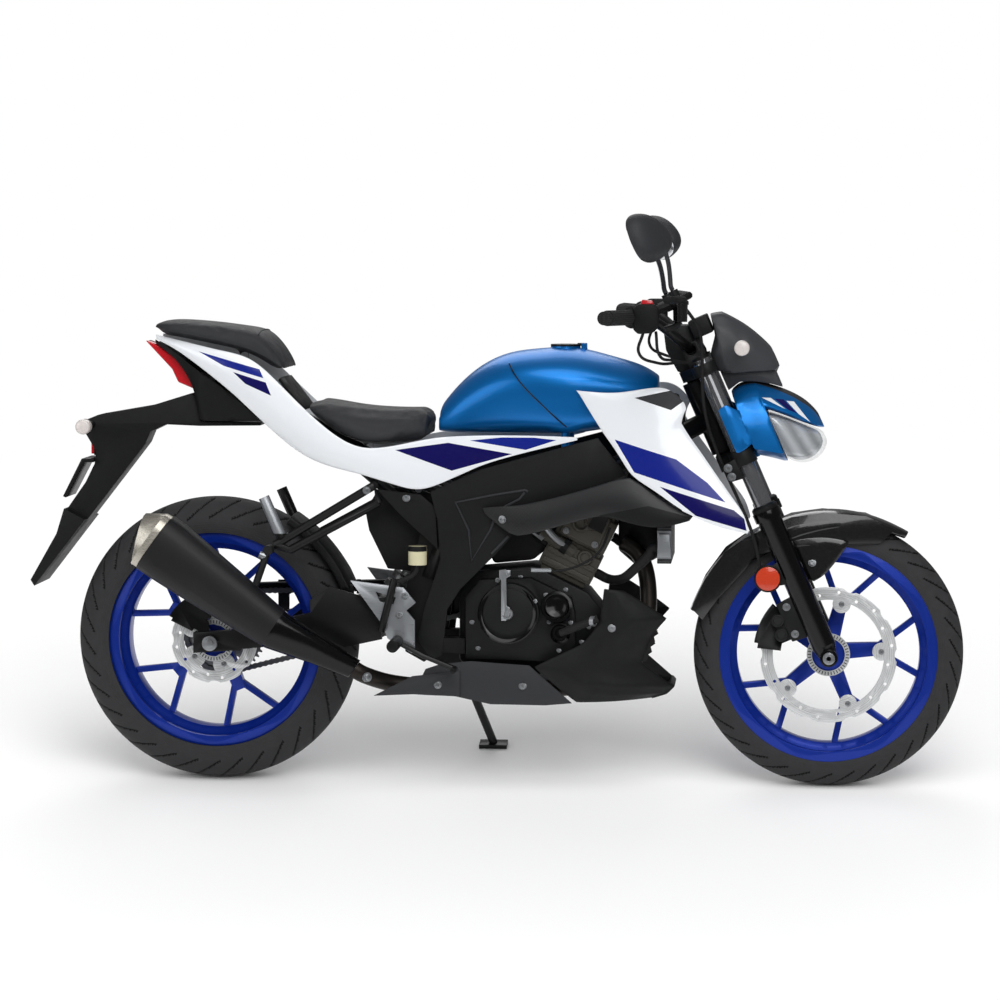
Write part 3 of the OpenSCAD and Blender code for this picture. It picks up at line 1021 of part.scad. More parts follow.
// Shroud stations: front edge x and z, rear edge x and z, sides at the front edge, the middle and the rear edge.
shroud_shares = [
    [0.126, 0.853, 0.132, 0.846, 0.75, 0.75, 0.75], [0.214, 0.847, 0.178, 0.772, 0.74, 0.8, 0.78],
    [0.304, 0.862, 0.205, 0.735, 0.74, 0.84, 0.82], [0.345, 0.838, 0.225, 0.705, 0.76, 0.88, 0.86],
    [0.358, 0.815, 0.242, 0.68, 0.77, 0.9, 0.89], [0.348, 0.785, 0.265, 0.662, 0.8, 0.92, 0.92],
    [0.388, 0.727, 0.3, 0.64, 0.84, 0.95, 0.95], [0.426, 0.673, 0.34, 0.612, 0.9, 0.98, 0.98],
    [0.459, 0.627, 0.376, 0.592, 0.94, 1.00, 1.00], [0.48, 0.597, 0.43, 0.57, 0.97, 1.00, 1.00],
    [0.491, 0.562, 0.488, 0.557, 0.98, 0.98, 0.98]];
function shroud_row(s) = let (a = [s[0], 0, s[1]] * body_h, b = [s[2], 0, s[3]] * body_h)
    [for (k = [0 : 4]) let (t = k / 4) a + (b - a) * t - [0, 1, 0] * shroud_w
        * ((1 - t) * (1 - t) * s[4] + 2 * t * (1 - t) * (2 * s[5] - (s[4] + s[6]) / 2) + t * t * s[6])];
shroud_boss_shares = [0.25, 0.705];
module shrouds() color("#f2f3f5") both() {
    rows = [for (s = smooth(shroud_shares, 2)) shroud_row(s)];
    between(drawn(rows, panel_t), rows);
    p = shroud_boss_shares * body_h;
    bar([p.x, -shroud_w * 0.87, p.y], [p.x, -spar_mid_y, p.y], boss_r);
}
duct_shares = [
    [-0.072, 0.603, -0.068, 0.592, 0.74, 0.74, 0.74], [-0.04, 0.607, -0.026, 0.558, 0.78, 0.8, 0.78],
    [0.004, 0.61, 0.004, 0.546, 0.8, 0.85, 0.82], [0.053, 0.62, 0.053, 0.556, 0.82, 0.87, 0.85],
    [0.12, 0.638, 0.12, 0.576, 0.86, 0.9, 0.88], [0.179, 0.656, 0.179, 0.59, 0.88, 0.93, 0.9],
    [0.24, 0.671, 0.226, 0.58, 0.88, 0.94, 0.92], [0.292, 0.638, 0.268, 0.57, 0.88, 0.95, 0.93],
    [0.336, 0.61, 0.312, 0.568, 0.9, 0.95, 0.94], [0.374, 0.592, 0.366, 0.582, 0.93, 0.93, 0.93]];
module air_ducts() color("#45474a") both() {
    rows = [for (s = smooth(duct_shares, 2)) shroud_row(s)];
    between(drawn(rows, panel_t), rows);
    p = duct_stay_shares[1] * body_h;
    bar([p.x, -duct_stay_y - fit, p.y], [p.x, -shroud_w * 0.87, p.y], boss_r);
}

belly_shares = [
    [0.185, 0.432, 0.225, 0.428, 0.97, 0.98, 0.92], [0.181, 0.395, 0.266, 0.404, 0.97, 1, 0.86],
    [0.175, 0.363, 0.318, 0.367, 0.97, 1, 0.76], [0.164, 0.343, 0.302, 0.351, 0.97, 1, 0.75],
    [0.139, 0.314, 0.279, 0.318, 0.97, 1, 0.74], [0.085, 0.288, 0.263, 0.272, 0.98, 1, 0.72],
    [0.036, 0.264, 0.3, 0.242, 0.98, 1, 0.62], [0.068, 0.236, 0.332, 0.217, 0.97, 0.98, 0.5],
    [0.098, 0.21, 0.317, 0.202, 0.94, 0.92, 0.46], [0.126, 0.187, 0.285, 0.192, 0.86, 0.84, 0.46]];
function belly_row(s) = let (a = [s[0], 0, s[1]] * body_h, b = [s[2], 0, s[3]] * body_h)
    [for (k = [0 : 4]) let (t = k / 4) a + (b - a) * t - [0, 1, 0] * belly_w
        * ((1 - t) * (1 - t) * s[4] + 2 * t * (1 - t) * (2 * s[5] - (s[4] + s[6]) / 2) + t * t * s[6])];
belly_boss_shares = [0.166, 0.33];
under_shares = [[-0.164, 0.267], [-0.099, 0.274], [0.026, 0.266], [0.117, 0.186], [0.06, 0.181],
    [-0.057, 0.182], [-0.132, 0.198], [-0.222, 0.202], [-0.196, 0.256]];
left_under_shares = [[-0.095, 0.274], [0.026, 0.266], [0.117, 0.186], [0.06, 0.181], [-0.057, 0.182],
    [-0.095, 0.19]];
under_boss_shares = [-0.05, 0.256];
chin_shares = [[0.325, 0.226], [0.334, 0.217], [0.3175, 0.2005], [0.2855, 0.1905], [0.2845, 0.195],
    [0.313, 0.205]];
module belly_pan() color("#1f2022") {
    both() {
        rows = [for (s = belly_shares) belly_row(s)];
        between(rows, drawn(rows, panel_t));
        p = belly_boss_shares * body_h;
        bar([p.x, -belly_w * 0.985 + panel_t / 2, p.y], [p.x, -case_y - fit, p.y], boss_r);
    }
    across(-belly_w / 2, belly_w / 2) polygon(spots(chin_shares, body_h));
}
module under_covers() color("#3d3f42") {
    y0 = belly_w * 0.93 - panel_t;
    across(-y0, -y0 - panel_t) polygon(spots(under_shares, body_h));
    across(y0, y0 + panel_t) polygon(spots(left_under_shares, body_h));
    both() roller(under_boss_shares * body_h, case_y + fit, y0 + over, boss_r * 0.8);
}

// Rear of the chassis.
// Swingarm stations: x, height, inner side, outer side, half height.
arm_path_shares = [[-0.215, 0.385, 0.04, 0.066, 0.026], [-0.345, 0.366, 0.046, 0.07, 0.032],
    [-0.4, 0.352, 0.08, 0.104, 0.032], [-0.5, 0.332, 0.095, 0.118, 0.028],
    [-0.615, 0.314, 0.095, 0.118, 0.022]];
arm_end_y_shares = [0.095, 0.118];
shock_low_shares = [-0.31, 0.372];
arm_cover_shares = [[-0.446, 0.4], [-0.403, 0.43], [-0.298, 0.4], [-0.29, 0.318], [-0.371, 0.3],
    [-0.44, 0.33]];
arm_cover_y_shares = [0.104, 0.11];
module swingarm() color("#171718") {
    a = arm_path_shares * body_h;
    difference() {
        union() {
            both() {
                loft([for (p = a) [[p[0], p[2], p[1] - p[4]], [p[0], p[3], p[1] - p[4]],
                    [p[0], p[3], p[1] + p[4]], [p[0], p[2], p[1] + p[4]]]]);
                across(a[4][2], a[4][3]) polygon([[a[4][0] + a[4][4], a[4][1] + a[4][4]],
                    [rear_x - hub_r, rear_r + a[4][4]], [rear_x - hub_r, rear_r - a[4][4]],
                    [a[4][0] + a[4][4], a[4][1] - a[4][4]]]);
            }
            roller([pivot_x, pivot_z], -spar_y + fit, spar_y - fit, pivot_r);
            roller(shock_low_shares * body_h, -arm_path_shares[1][3] * body_h,
                arm_path_shares[1][3] * body_h, rail_r);
            across(-arm_cover_y_shares[0] * body_h, -arm_cover_y_shares[1] * body_h)
                polygon(spots(arm_cover_shares, body_h));
        }
        roller([pivot_x, pivot_z], -2 * spar_y, 2 * spar_y, pivot_bolt_r + fit);
        roller([rear_x, rear_r], -2 * spar_y, 2 * spar_y, axle_r + fit);
    }
}
// Spring strut between the frame's cross tube and the swingarm's brace.
coils = 8;
module rear_shock() color("#8f9296") {
    top = [spar_path[2].x, 0, spar_path[2].z];
    low = [shock_low_shares[0], 0, shock_low_shares[1]] * body_h;
    d = unit(low - top);
    a = top + d * (spar_r * 0.8 + eye_t);
    b = low - d * (rail_r + eye_t);
    difference() {
        union() {
            bar(top, low, spring_r * 0.5);
            for (k = [0 : coils - 1]) bar(a + (b - a) * (k + 0.2) / coils, a + (b - a) * (k + 0.7) / coils,
                spring_r);
            roller([top.x, top.z], -spring_r * 0.7, spring_r * 0.7, spar_r * 0.8 + eye_t);
            roller([low.x, low.z], -spring_r * 0.7, spring_r * 0.7, rail_r + eye_t);
        }
        roller([top.x, top.z], -spring_r, spring_r, spar_r * 0.8 + fit);
        roller([low.x, low.z], -spring_r, spring_r, rail_r + fit);
    }
}
// Hugger over the rear tyre and guard over the upper run of the chain, both on the swingarm.
hugger_angles = [21, 29, 37, 45, 52, 58];
hugger_side_shares = [-1, -0.98, -0.7, 0, 0.7, 0.98, 1];
hugger_drop_shares = [1, 0.4, 0.1, 0, 0.1, 0.4, 1];
hugger_at_share = 0.3;
chain_guard_shares = [0.08, 0.68];
chain_guard_y_shares = [-0.01, 0.0155];
chain_tab_shares = [-0.545, -0.52];
function hugger_grid(t) = [for (i = [len(hugger_angles) - 1 : -1 : 0]) [for (k = [0 : 6])
    let (r = rear_r + hugger_gap - t - hugger_drop_shares[k] * hugger_gap * 1.4)
    [rear_x + r * cos(hugger_angles[i]), hugger_side_shares[k] * (hugger_w - t),
        rear_r + r * sin(hugger_angles[i])]]];
// height of the swingarm's top at a share of the way between two stations
function arm_top(i, t) = let (p = arm_path_shares[i] + (arm_path_shares[i + 1] - arm_path_shares[i]) * t)
    [p[0], p[1] + p[4]] * body_h;
module chain_guard() color("#18181a") {
    between(hugger_grid(0), hugger_grid(panel_t));
    top = arm_top(1, hugger_at_share);
    r0 = rear_r + hugger_gap - panel_t;
    both() translate([top.x, hugger_w - boss_r * 0.6, top.y + boss_r * 0.4])
        cylinder(h = rear_r + r0 * sin(hugger_angles[0]) + panel_t - top.y, r = boss_r * 0.6);
    y = [chain_y + chain_guard_y_shares[0] * body_h, chain_y + chain_guard_y_shares[1] * body_h];
    ends = [for (t = chain_guard_shares) on_chain(straight * t, chain_h * 1.2)];
    across(y[0], y[1]) polygon([ends[0], ends[1], ends[1] + [0, panel_t], ends[0] + [0, panel_t]]);
    across(y[1] - panel_t, y[1]) polygon([ends[0] - [0, chain_h], ends[1] - [0, chain_h], ends[1] + [0,
        panel_t],
        ends[0] + [0, panel_t]]);
    tab = [for (x = chain_tab_shares * body_h) arm_top(3, (x / body_h - arm_path_shares[3][0])
        / (arm_path_shares[4][0] - arm_path_shares[3][0]))];
    across(y[1] - panel_t, y[1]) polygon([tab[0] + [0, fit], tab[1] + [0, fit], [tab[1].x, ends[1].y],
        [tab[0].x, ends[1].y]]);
}
module rear_axle() color("#8f9296") at_rear() {
    y1 = arm_end_y_shares[1] * body_h;
    y0 = arm_end_y_shares[0] * body_h;
    roller([0, 0], -y1 - axle_r * 2, y1 + axle_r * 2, axle_r);
    both() roller([0, 0], y1 + fit, y1 + axle_r * 1.4, axle_r * 1.9);
    roller([0, 0], -y0 + fit, -rear_hub_w / 2 - fit, axle_r * 1.7);
    roller([0, 0], y0 - fit, chain_y + chain_gap / 2, axle_r * 1.7);
}
module rear_caliper() color("#26272a") at_rear() {
    caliper(rear_disc_d / 2, rear_disc_y, 100, 150, 0.45);
    across(-rear_disc_y - 6 * disc_t, -rear_disc_y - 4 * disc_t) difference() {
        union() {
            circle(r = axle_r * 2.6);
            polygon(sector(axle_r * 2, rear_disc_d / 2 - disc_band, 105, 145));
        }
        circle(r = axle_r * 1.7 + fit);
    }
}
reservoir_shares = [-0.21, 0.502];
module brake_reservoir() color("#cfc9a0") {
    p = reservoir_shares * body_h;
    translate([p.x, -spar_y - 2.2 * spar_r, p.y - spar_r]) cylinder(h = 2 * spar_r, r = spar_r);
    roller(p, -spar_y - pivot_t - fit, -spar_y - 2 * spar_r, boss_r * 0.7);
}
peg_plate_shares = [[-0.353, 0.447], [-0.24, 0.433], [-0.214, 0.401], [-0.234, 0.384], [-0.216, 0.363],
    [-0.216, 0.304],
    [-0.222, 0.293], [-0.274, 0.324], [-0.287, 0.356]];
peg_slot_shares = [[-0.3, 0.424], [-0.256, 0.412], [-0.262, 0.396], [-0.29, 0.402]];
peg_bolt_shares = [[-0.238, 0.4], [-0.228, 0.345]];
module peg_plates() color("#c3c6ca") both() {
    across(peg_y, peg_y + pivot_t * 0.7) difference() {
        polygon(spots(peg_plate_shares, body_h));
        polygon(spots(peg_slot_shares, body_h));
    }
    for (p = spots(peg_bolt_shares, body_h)) roller(p, spar_y + pivot_t + fit, peg_y + over, boss_r);
}
peg_shares = [-0.253, 0.318];
pedal_shares = [[-0.253, 0.318], [-0.195, 0.288], [-0.13, 0.262]];
master_shares = [[-0.258, 0.452], [-0.287, 0.34]];
module foot_controls() color("#1a1a1b") {
    y0 = peg_y + pivot_t * 0.7 + fit;
    both() {
        roller(peg_shares * body_h, y0, y0 + peg_l, boss_r * 1.6);
        tube([for (p = pedal_shares * body_h) [p.x, y0 + boss_r, p.y]], boss_r * 0.7, 8, [0, 1, 0]);
        roller(pedal_shares[2] * body_h, y0 + boss_r / 2, y0 + peg_l / 2, boss_r * 0.75);
    }
    m = master_shares * body_h;
    bar([m[0].x, -y0 - boss_r, m[0].y], [m[1].x, -y0 - boss_r, m[1].y], boss_r);
}
pillion_bar_shares = [[-0.305, 0.648], [-0.517, 0.52], [-0.484, 0.51], [-0.295, 0.612]];
pillion_bar_y_shares = [0.118, 0.124];
pillion_peg_shares = [[-0.541, 0.622], [-0.503, 0.535]];
module pillion_pegs() color("#1a1a1b") {
    y = pillion_bar_y_shares * body_h;
    q = pillion_peg_shares * body_h;
    b = [for (i = [0 : 3]) let (p = pillion_bar_shares[i] * body_h) [p.x, i == 1 || i == 2 ? y[1] : y[0],
        p.y]];
    both() {
        tube([b[3], b[0], b[1]], rail_r * 0.8, 10, [0, 1, 0]);
        tube([b[3], b[2], b[1]], rail_r * 0.8, 10, [0, 1, 0]);
        bar([q[0].x, y[1], q[0].y], [q[1].x, y[1], q[1].y], rail_r, $fn = 12);
        roller(pillion_bar_shares[0] * body_h, pillion_lug_y_share * body_h + fit, y[0], boss_r);
    }
    p = muffler_lug_shares[0] * body_h;
    roller(p, -y[1], -muffler_lug_y_shares[0] * body_h + fit, boss_r);
}

// Side stand: its eye turns on a pin of the frame's plate, square to the leg's way down and up.
stand_at_shares = [-0.15, 0.126, 0.252];
stand_at = stand_at_shares * body_h;
stand_foot = [stand_at.x + foot_l * 1.13, foot_y, (foot_y * sin(lean) - lift) / cos(lean)];
foot_h = stand_r * 0.8;
stand_down = stand_foot + [0, -sin(lean), cos(lean)] * foot_h - stand_at;
fold_shares = [-0.99, 0.12, 0.06];
stand_axis = unit(cross(stand_down, fold_shares));
module side_stand() color("#1a1a1b") {
    difference() {
        union() {
            bar(stand_at - stand_axis * stand_r * 0.9, stand_at + stand_axis * stand_r * 0.9, stand_eye_r);
            bar(stand_at + unit(stand_down) * stand_eye_r * 0.6, stand_at + stand_down, stand_r * 0.85);
            translate(stand_foot) rotate([lean, 0, 0]) translate([-foot_l / 2, -stand_r * 1.8, 0])
                cube([foot_l, stand_r * 3.6, foot_h]);
        }
        bar(stand_at - stand_axis * stand_eye_r * 2, stand_at + stand_axis * stand_eye_r * 2,
            stand_pin_r + run);
    }
}

parked() frame();
parked() frame_covers();
parked() crankcase();
parked() engine_covers();
parked() cylinder_top();
parked() radiator();
parked() coolant_hoses();
parked() exhaust_pipe();
parked() muffler();
parked() muffler_cap();
parked() belly_pan();
parked() under_covers();
parked() fuel_tank();
parked() fuel_cap();
parked() shrouds();
parked() air_ducts();
parked() tail_cowl();
parked() tail_inner();
parked() rider_seat();
parked() pillion_seat();
parked() tail_light();
parked() plate_hanger();
parked() rear_indicators();
parked() swingarm();
parked() rear_shock();
parked() chain_guard();
parked() rear_axle();
parked() rear_caliper();
parked() brake_reservoir();
parked() chain();
parked() peg_plates();
parked() foot_controls();
parked() pillion_pegs();
parked() side_stand();
parked() rear_tyre();
parked() rear_wheel();
parked() rear_disc();
parked() rear_sprocket();
parked() steering_head();
parked() fork_tubes();
parked() fork_sliders();
parked() front_axle();
parked() front_fender();
parked() front_caliper();
parked() handlebar();
parked() grips();
parked() hand_controls();
parked() mirrors();
parked() headlight_cowl();
parked() headlamp();
parked() visor();
parked() instrument();
parked() front_indicators();
parked() brake_hose();
parked() front_tyre();
parked() front_wheel();
parked() front_disc();
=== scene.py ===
"""Looks of a standard motorcycle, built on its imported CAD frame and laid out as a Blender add-on."""

import json
import math

import bmesh
import bpy
from bpy.props import FloatProperty, FloatVectorProperty, IntProperty, PointerProperty
from mathutils import Matrix, Vector
from mathutils.bvhtree import BVHTree


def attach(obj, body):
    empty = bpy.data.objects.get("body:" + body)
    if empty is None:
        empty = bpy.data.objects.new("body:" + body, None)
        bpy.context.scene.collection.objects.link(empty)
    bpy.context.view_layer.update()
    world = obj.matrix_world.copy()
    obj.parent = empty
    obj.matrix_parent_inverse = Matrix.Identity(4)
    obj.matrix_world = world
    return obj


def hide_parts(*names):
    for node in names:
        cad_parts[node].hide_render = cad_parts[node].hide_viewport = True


bl_info = {
    "name": "Standard motorcycle",
    "version": (1, 0, 0),
    "blender": (4, 5, 0),
    "location": "3D View > Sidebar > Motorcycle",
    "description": "Paints and dresses the packed motorcycle and sets its stage",
    "category": "Object",
}

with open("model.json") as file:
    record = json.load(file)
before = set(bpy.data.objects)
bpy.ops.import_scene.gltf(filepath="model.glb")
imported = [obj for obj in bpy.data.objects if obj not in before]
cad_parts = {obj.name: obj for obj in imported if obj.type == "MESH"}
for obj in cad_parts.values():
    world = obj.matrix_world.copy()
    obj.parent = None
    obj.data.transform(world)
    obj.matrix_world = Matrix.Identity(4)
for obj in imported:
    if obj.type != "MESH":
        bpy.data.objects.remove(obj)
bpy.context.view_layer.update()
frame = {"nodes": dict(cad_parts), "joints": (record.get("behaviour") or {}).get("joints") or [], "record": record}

MM = 0.001
JOINTS = {j["name"]: j for j in frame["joints"]}
BODY_OF = {n: body for body, nodes in frame["record"]["behaviour"]["bodies"].items() for n in nodes}
SPIN_AXIS = Vector(JOINTS["rear_wheel_spin"]["axis"])
STEER_AXIS = Vector(JOINTS["steering"]["axis"])
LEAN = math.atan2(-SPIN_AXIS.z, SPIN_AXIS.y)
RAKE = math.asin(-STEER_AXIS.x)
REAR_AXLE = Vector((-0.660, 0.0, 0.307))
FRONT_AXLE = Vector((0.660, 0.0, 0.288))
# The upright motorcycle, X forward, Y to its left, ground at zero, is leaned over and parked.
TURN = Matrix.Rotation(-LEAN, 4, "X")
PARK = Vector(JOINTS["rear_wheel_spin"]["pos_m"]) - TURN @ REAR_AXLE
UPRIGHT = Matrix.Translation(PARK) @ TURN
FORK = UPRIGHT @ Matrix.Translation(FRONT_AXLE) @ Matrix.Rotation(-RAKE, 4, "Y")
REAR = UPRIGHT @ Matrix.Translation(REAR_AXLE)
FRONT = UPRIGHT @ Matrix.Translation(FRONT_AXLE)


def linear(code):
    """Linear colour of an sRGB hex value."""
    part = [int(code[i : i + 2], 16) / 255 for i in (1, 3, 5)]
    return tuple(c / 12.92 if c <= 0.04045 else ((c + 0.055) / 1.055) ** 2.4 for c in part)


def colour(label, code):
    return FloatVectorProperty(name=label, description=label + " colour", subtype="COLOR", size=3,
                               min=0, max=1, default=linear(code))


def length(label, default):
    return FloatProperty(name=label, description=label, default=default, min=0, unit="LENGTH")


class MotorcycleColours(bpy.types.PropertyGroup):
    paint: colour("Tank and cowl paint", "#0074c4")
    wheel: colour("Wheel paint", "#002c98")
    panel: colour("White panels", "#e2e5e9")
    royal: colour("Light stripes", "#0c1e7c")
    navy: colour("Dark stripes", "#0a0550")
    plastic: colour("Black plastic", "#0a0b0c")
    grey: colour("Dark grey plastic", "#2c2d30")
    vinyl: colour("Seat vinyl", "#28292c")
    lamp: colour("Rear lamp", "#c4101c")
    floor: colour("Floor", "#fbfbfb")


class MotorcycleSizes(bpy.types.PropertyGroup):
    groove: length("Depth of the tread grooves", 0.0035)
    bolt: length("Radius of a cap screw", 0.0065)
    tread: IntProperty(name="Tread repeats", description="Number of tread blocks round a tyre",
                       default=34, min=8)
    lens: FloatProperty(name="Lens", description="Focal length of the camera in mm", default=117.5, min=20)
    key: FloatProperty(name="Key light", description="Power of the key light",
                       default=55.0, min=0, unit="POWER")
    surround: FloatProperty(name="Surround", description="Brightness of the surroundings in reflections",
                            default=0.14, min=0)
    sky: FloatProperty(name="Overhead light", description="Strength of the overhead light",
                       default=1.25, min=0)


# Materials


def add(tree, kind, links=None, out=0, **settings):
    """Adds a node and gives one output or, for None, all; links fill its sockets with values or outputs."""
    made = tree.nodes.new("ShaderNode" + kind)
    for key, value in settings.items():
        setattr(made, key, value)
    for socket, source in (links or {}).items():
        if isinstance(source, bpy.types.NodeSocket):
            tree.links.new(source, made.inputs[socket])
        else:
            made.inputs[socket].default_value = source
    return made.outputs if out is None else made.outputs[out]


def start(name, base, **sockets):
    """New material with one Principled shader; underscores in socket names stand for spaces."""
    mat = bpy.data.materials.new(name)
    mat.use_nodes = True
    shader = mat.node_tree.nodes["Principled BSDF"]
    shader.inputs["Base Color"].default_value = (*base, 1)
    for key, value in sockets.items():
        shader.inputs[key.replace("_", " ")].default_value = value
    return mat.node_tree, shader


def upright_place(tree, centre=(0, 0, 0)):
    """Object coordinates turned back to the upright motorcycle, from a centre on it."""
    where = add(tree, "TexCoord", out="Object")
    back = -(Matrix.Rotation(LEAN, 3, "X") @ PARK) - Vector(centre)
    return add(tree, "Mapping", {"Vector": where, "Location": back, "Rotation": (LEAN, 0, 0)})


def round_axle(tree, axle):
    """Distances from an axle and along it, over the upright motorcycle."""
    x, y, z = add(tree, "SeparateXYZ", {0: upright_place(tree, axle)}, None)
    flat = add(tree, "CombineXYZ", {0: x, 1: z})
    return (add(tree, "VectorMath", {0: flat}, "Value", operation="LENGTH"),
            add(tree, "Math", {0: y}, operation="ABSOLUTE"))


def crossed(tree, up, across):
    """Waves up and across the motorcycle, multiplied to a grid; a scale of 78 gives 4 mm."""
    place = upright_place(tree)
    one, two = (add(tree, "TexWave", {"Vector": place, "Scale": scale}, bands_direction=axis)
                for scale, axis in ((up, "Z"), (across, "Y")))
    return add(tree, "Math", {0: one, 1: two}, operation="MULTIPLY")


def mottled(tree, shader, scale, low, high, place=None, detail=3.0):
    """Roughness that wanders between two values with a noise of one scale; gives the noise."""
    place = place or add(tree, "TexCoord", out="Object")
    noise = add(tree, "TexNoise", {"Vector": place, "Scale": scale, "Detail": detail})
    rough = add(tree, "MapRange", {"Value": noise, "From Min": 0.3, "From Max": 0.7,
                                   "To Min": low, "To Max": high})
    tree.links.new(rough, shader.inputs["Roughness"])
    return noise


def patterned(tree, shader, pattern, low=None, high=None, relief=0.0, strength=1.0):
    """A pattern shown by two colours, by relief in metres, or by both."""
    if low:
        mix = add(tree, "Mix", {0: pattern, 6: (*low, 1), 7: (*high, 1)}, 2, data_type="RGBA")
        tree.links.new(mix, shader.inputs["Base Color"])
    if relief:
        bump = add(tree, "Bump", {"Height": pattern, "Distance": relief, "Strength": strength})
        tree.links.new(bump, shader.inputs["Normal"])


def ray_kinds(tree):
    """One for rays that see the plain background, and one for those off gloss, which see it dimmed."""
    ray = add(tree, "LightPath", out=None)
    seen = add(tree, "Math", {0: ray["Is Camera Ray"], 1: ray["Is Transmission Ray"]}, operation="MAXIMUM")
    return seen, ray["Is Glossy Ray"]


def shade(base, k):
    return tuple(min(1.0, c * k) for c in base)


def metallic_paint(name, base, flake, coat):
    """Metallic lacquer: fine aluminium flakes under a clear coat, which glint under sharp reflections."""
    tree, shader = start(name, base, Metallic=flake, Roughness=0.36, Coat_Weight=coat, Coat_Roughness=0.05)
    # flakes of about 0.1 mm are drawn 0.8 mm wide, to show in the render
    place = add(tree, "TexCoord", out="Object")
    cells = add(tree, "TexVoronoi", {"Vector": place, "Scale": 1250.0})
    flakes = add(tree, "MapRange", {"Value": cells, "From Max": 0.8})
    patterned(tree, shader, flakes, shade(base, 1.12), shade(base, 0.86))


def gloss_panel(name, base, coat=0.8, specular=0.5):
    """Moulded ABS with a clear lacquer: even colour, a faint orange-peel ripple of about 6 mm."""
    tree, shader = start(name, base, Coat_Weight=coat, Coat_Roughness=0.04, Specular_IOR_Level=specular)
    ripple = mottled(tree, shader, 160.0, 0.18, 0.27, detail=1.0)
    patterned(tree, shader, ripple, relief=0.0002, strength=0.3)


def grained_plastic(name, base, rough=0.55):
    """Moulded polypropylene with a spark-eroded grain of just under a millimetre, which scatters light."""
    tree, shader = start(name, base, Specular_IOR_Level=0.3)
    place = add(tree, "TexCoord", out="Object")
    cells = add(tree, "TexVoronoi", {"Vector": place, "Scale": 1 / 0.0009})
    mottled(tree, shader, 35.0, rough - 0.07, rough + 0.07)
    patterned(tree, shader, cells, relief=0.0003, strength=0.35)


def satin_paint(name, base, rough=0.38):
    """Powder coat on steel: satin, with the soft ripple of the cured powder, 2.4 mm wide."""
    tree, shader = start(name, base, Specular_IOR_Level=0.35)
    ripple = mottled(tree, shader, 420.0, rough - 0.06, rough + 0.06)
    patterned(tree, shader, ripple, relief=0.0002, strength=0.25)


def cast_paint(name, base, rough=0.5):
    """Sand-cast aluminium under thin black paint: a 1.5 mm pebbled skin, greyer on the high spots as a painted
    highlight.
    """
    tree, shader = start(name, base, Metallic=0.15, Specular_IOR_Level=0.35)
    pebbles_and_highlights = mottled(tree, shader, 650.0, rough - 0.1, rough + 0.12)
    # the high spots of the pebbling are coloured greyer: painted highlight
    patterned(tree, shader, pebbles_and_highlights, shade(base, 0.8), shade(base, 1.5), 0.0004, 0.5)


def brushed_metal(name, base, rough):
    """Metal with a ground or brushed face: fine streaks of about a millimetre along one way."""
    tree, shader = start(name, base, Metallic=0.75)
    streak = add(tree, "VectorMath", {0: upright_place(tree), 1: (30.0, 900.0, 900.0)}, operation="MULTIPLY")
    lines = mottled(tree, shader, 1.0, rough - 0.1, rough + 0.12, streak)
    patterned(tree, shader, lines, shade(base, 0.94), shade(base, 1.04))


def plain_metal(name, base, rough):
    """Plated or polished metal: clean reflections, faint smudges some 30 mm wide."""
    tree, shader = start(name, base, Metallic=0.75)
    mottled(tree, shader, 35.0, max(rough - 0.05, 0.02), rough + 0.06)


def tyre_rubber(name, axle, half):
    """Vulcanised rubber: matt and a little dusty, with fine rings 5 mm apart on the side wall."""
    tree, shader = start(name, linear("#161617"), Specular_IOR_Level=0.25)
    radius, side = round_axle(tree, axle)
    turns = add(tree, "Math", {0: radius, 1: 2 * math.pi / 0.005}, operation="MULTIPLY")
    rings = add(tree, "Math", {0: turns}, operation="SINE")
    wall = add(tree, "MapRange", {"Value": side, "From Min": half * 0.92, "From Max": half})
    height = add(tree, "Math", {0: rings, 1: wall}, operation="MULTIPLY")
    dust = mottled(tree, shader, 60.0, 0.62, 0.82)
    patterned(tree, shader, dust, linear("#242425"), linear("#363638"))
    patterned(tree, shader, height, relief=0.0003, strength=0.4)


def disc_steel(name, axle):
    """Stainless brake disc, ground in rings: bright, with circular lines of 1.4 mm; the brightness is a painted
    reflection, a pale, half-metallic colour.
    """
    tree, shader = start(name, linear("#b2b4b7"), Metallic=0.45)
    line = add(tree, "TexNoise", {"W": round_axle(tree, axle)[0], "Scale": 700.0}, noise_dimensions="1D")
    rough = add(tree, "MapRange", {"Value": line, "From Min": 0.3, "From Max": 0.7,
                                   "To Min": 0.2, "To Max": 0.45})
    tree.links.new(rough, shader.inputs["Roughness"])
    # a pale, half-metallic colour: painted reflection of the bright surroundings
    patterned(tree, shader, line, linear("#bfc1c2"), linear("#dcdedf"))


def vinyl(name, base):
    """Grained PVC cover: a leather-like grain about 1.6 mm wide and a dull sheen."""
    tree, shader = start(name, base, Specular_IOR_Level=0.35)
    place = add(tree, "TexCoord", out="Object")
    cells = add(tree, "TexVoronoi", {"Vector": place, "Scale": 620.0}, feature="DISTANCE_TO_EDGE")
    grain = add(tree, "MapRange", {"Value": cells, "From Max": 0.25})
    mottled(tree, shader, 50.0, 0.42, 0.56)
    patterned(tree, shader, grain, relief=0.0004, strength=0.6)


def woven_panel(name, base):
    """Grey moulding with a pressed weave of 4 mm squares, like carbon cloth, on its rear end."""
    tree, shader = start(name, base, Roughness=0.45)
    x, _, z = add(tree, "SeparateXYZ", {0: upright_place(tree)}, None)
    flat = add(tree, "CombineXYZ", {0: x, 1: z})
    weave = add(tree, "TexChecker", {"Vector": flat, "Scale": 250.0}, "Fac")
    rear = add(tree, "MapRange", {"Value": x, "From Min": 0.03, "From Max": 0.06,
                                  "To Min": 1.0, "To Max": 0.0})
    where = add(tree, "Math", {0: weave, 1: rear}, operation="MULTIPLY")
    patterned(tree, shader, where, base, shade(base, 0.55), 0.0003, 0.6)


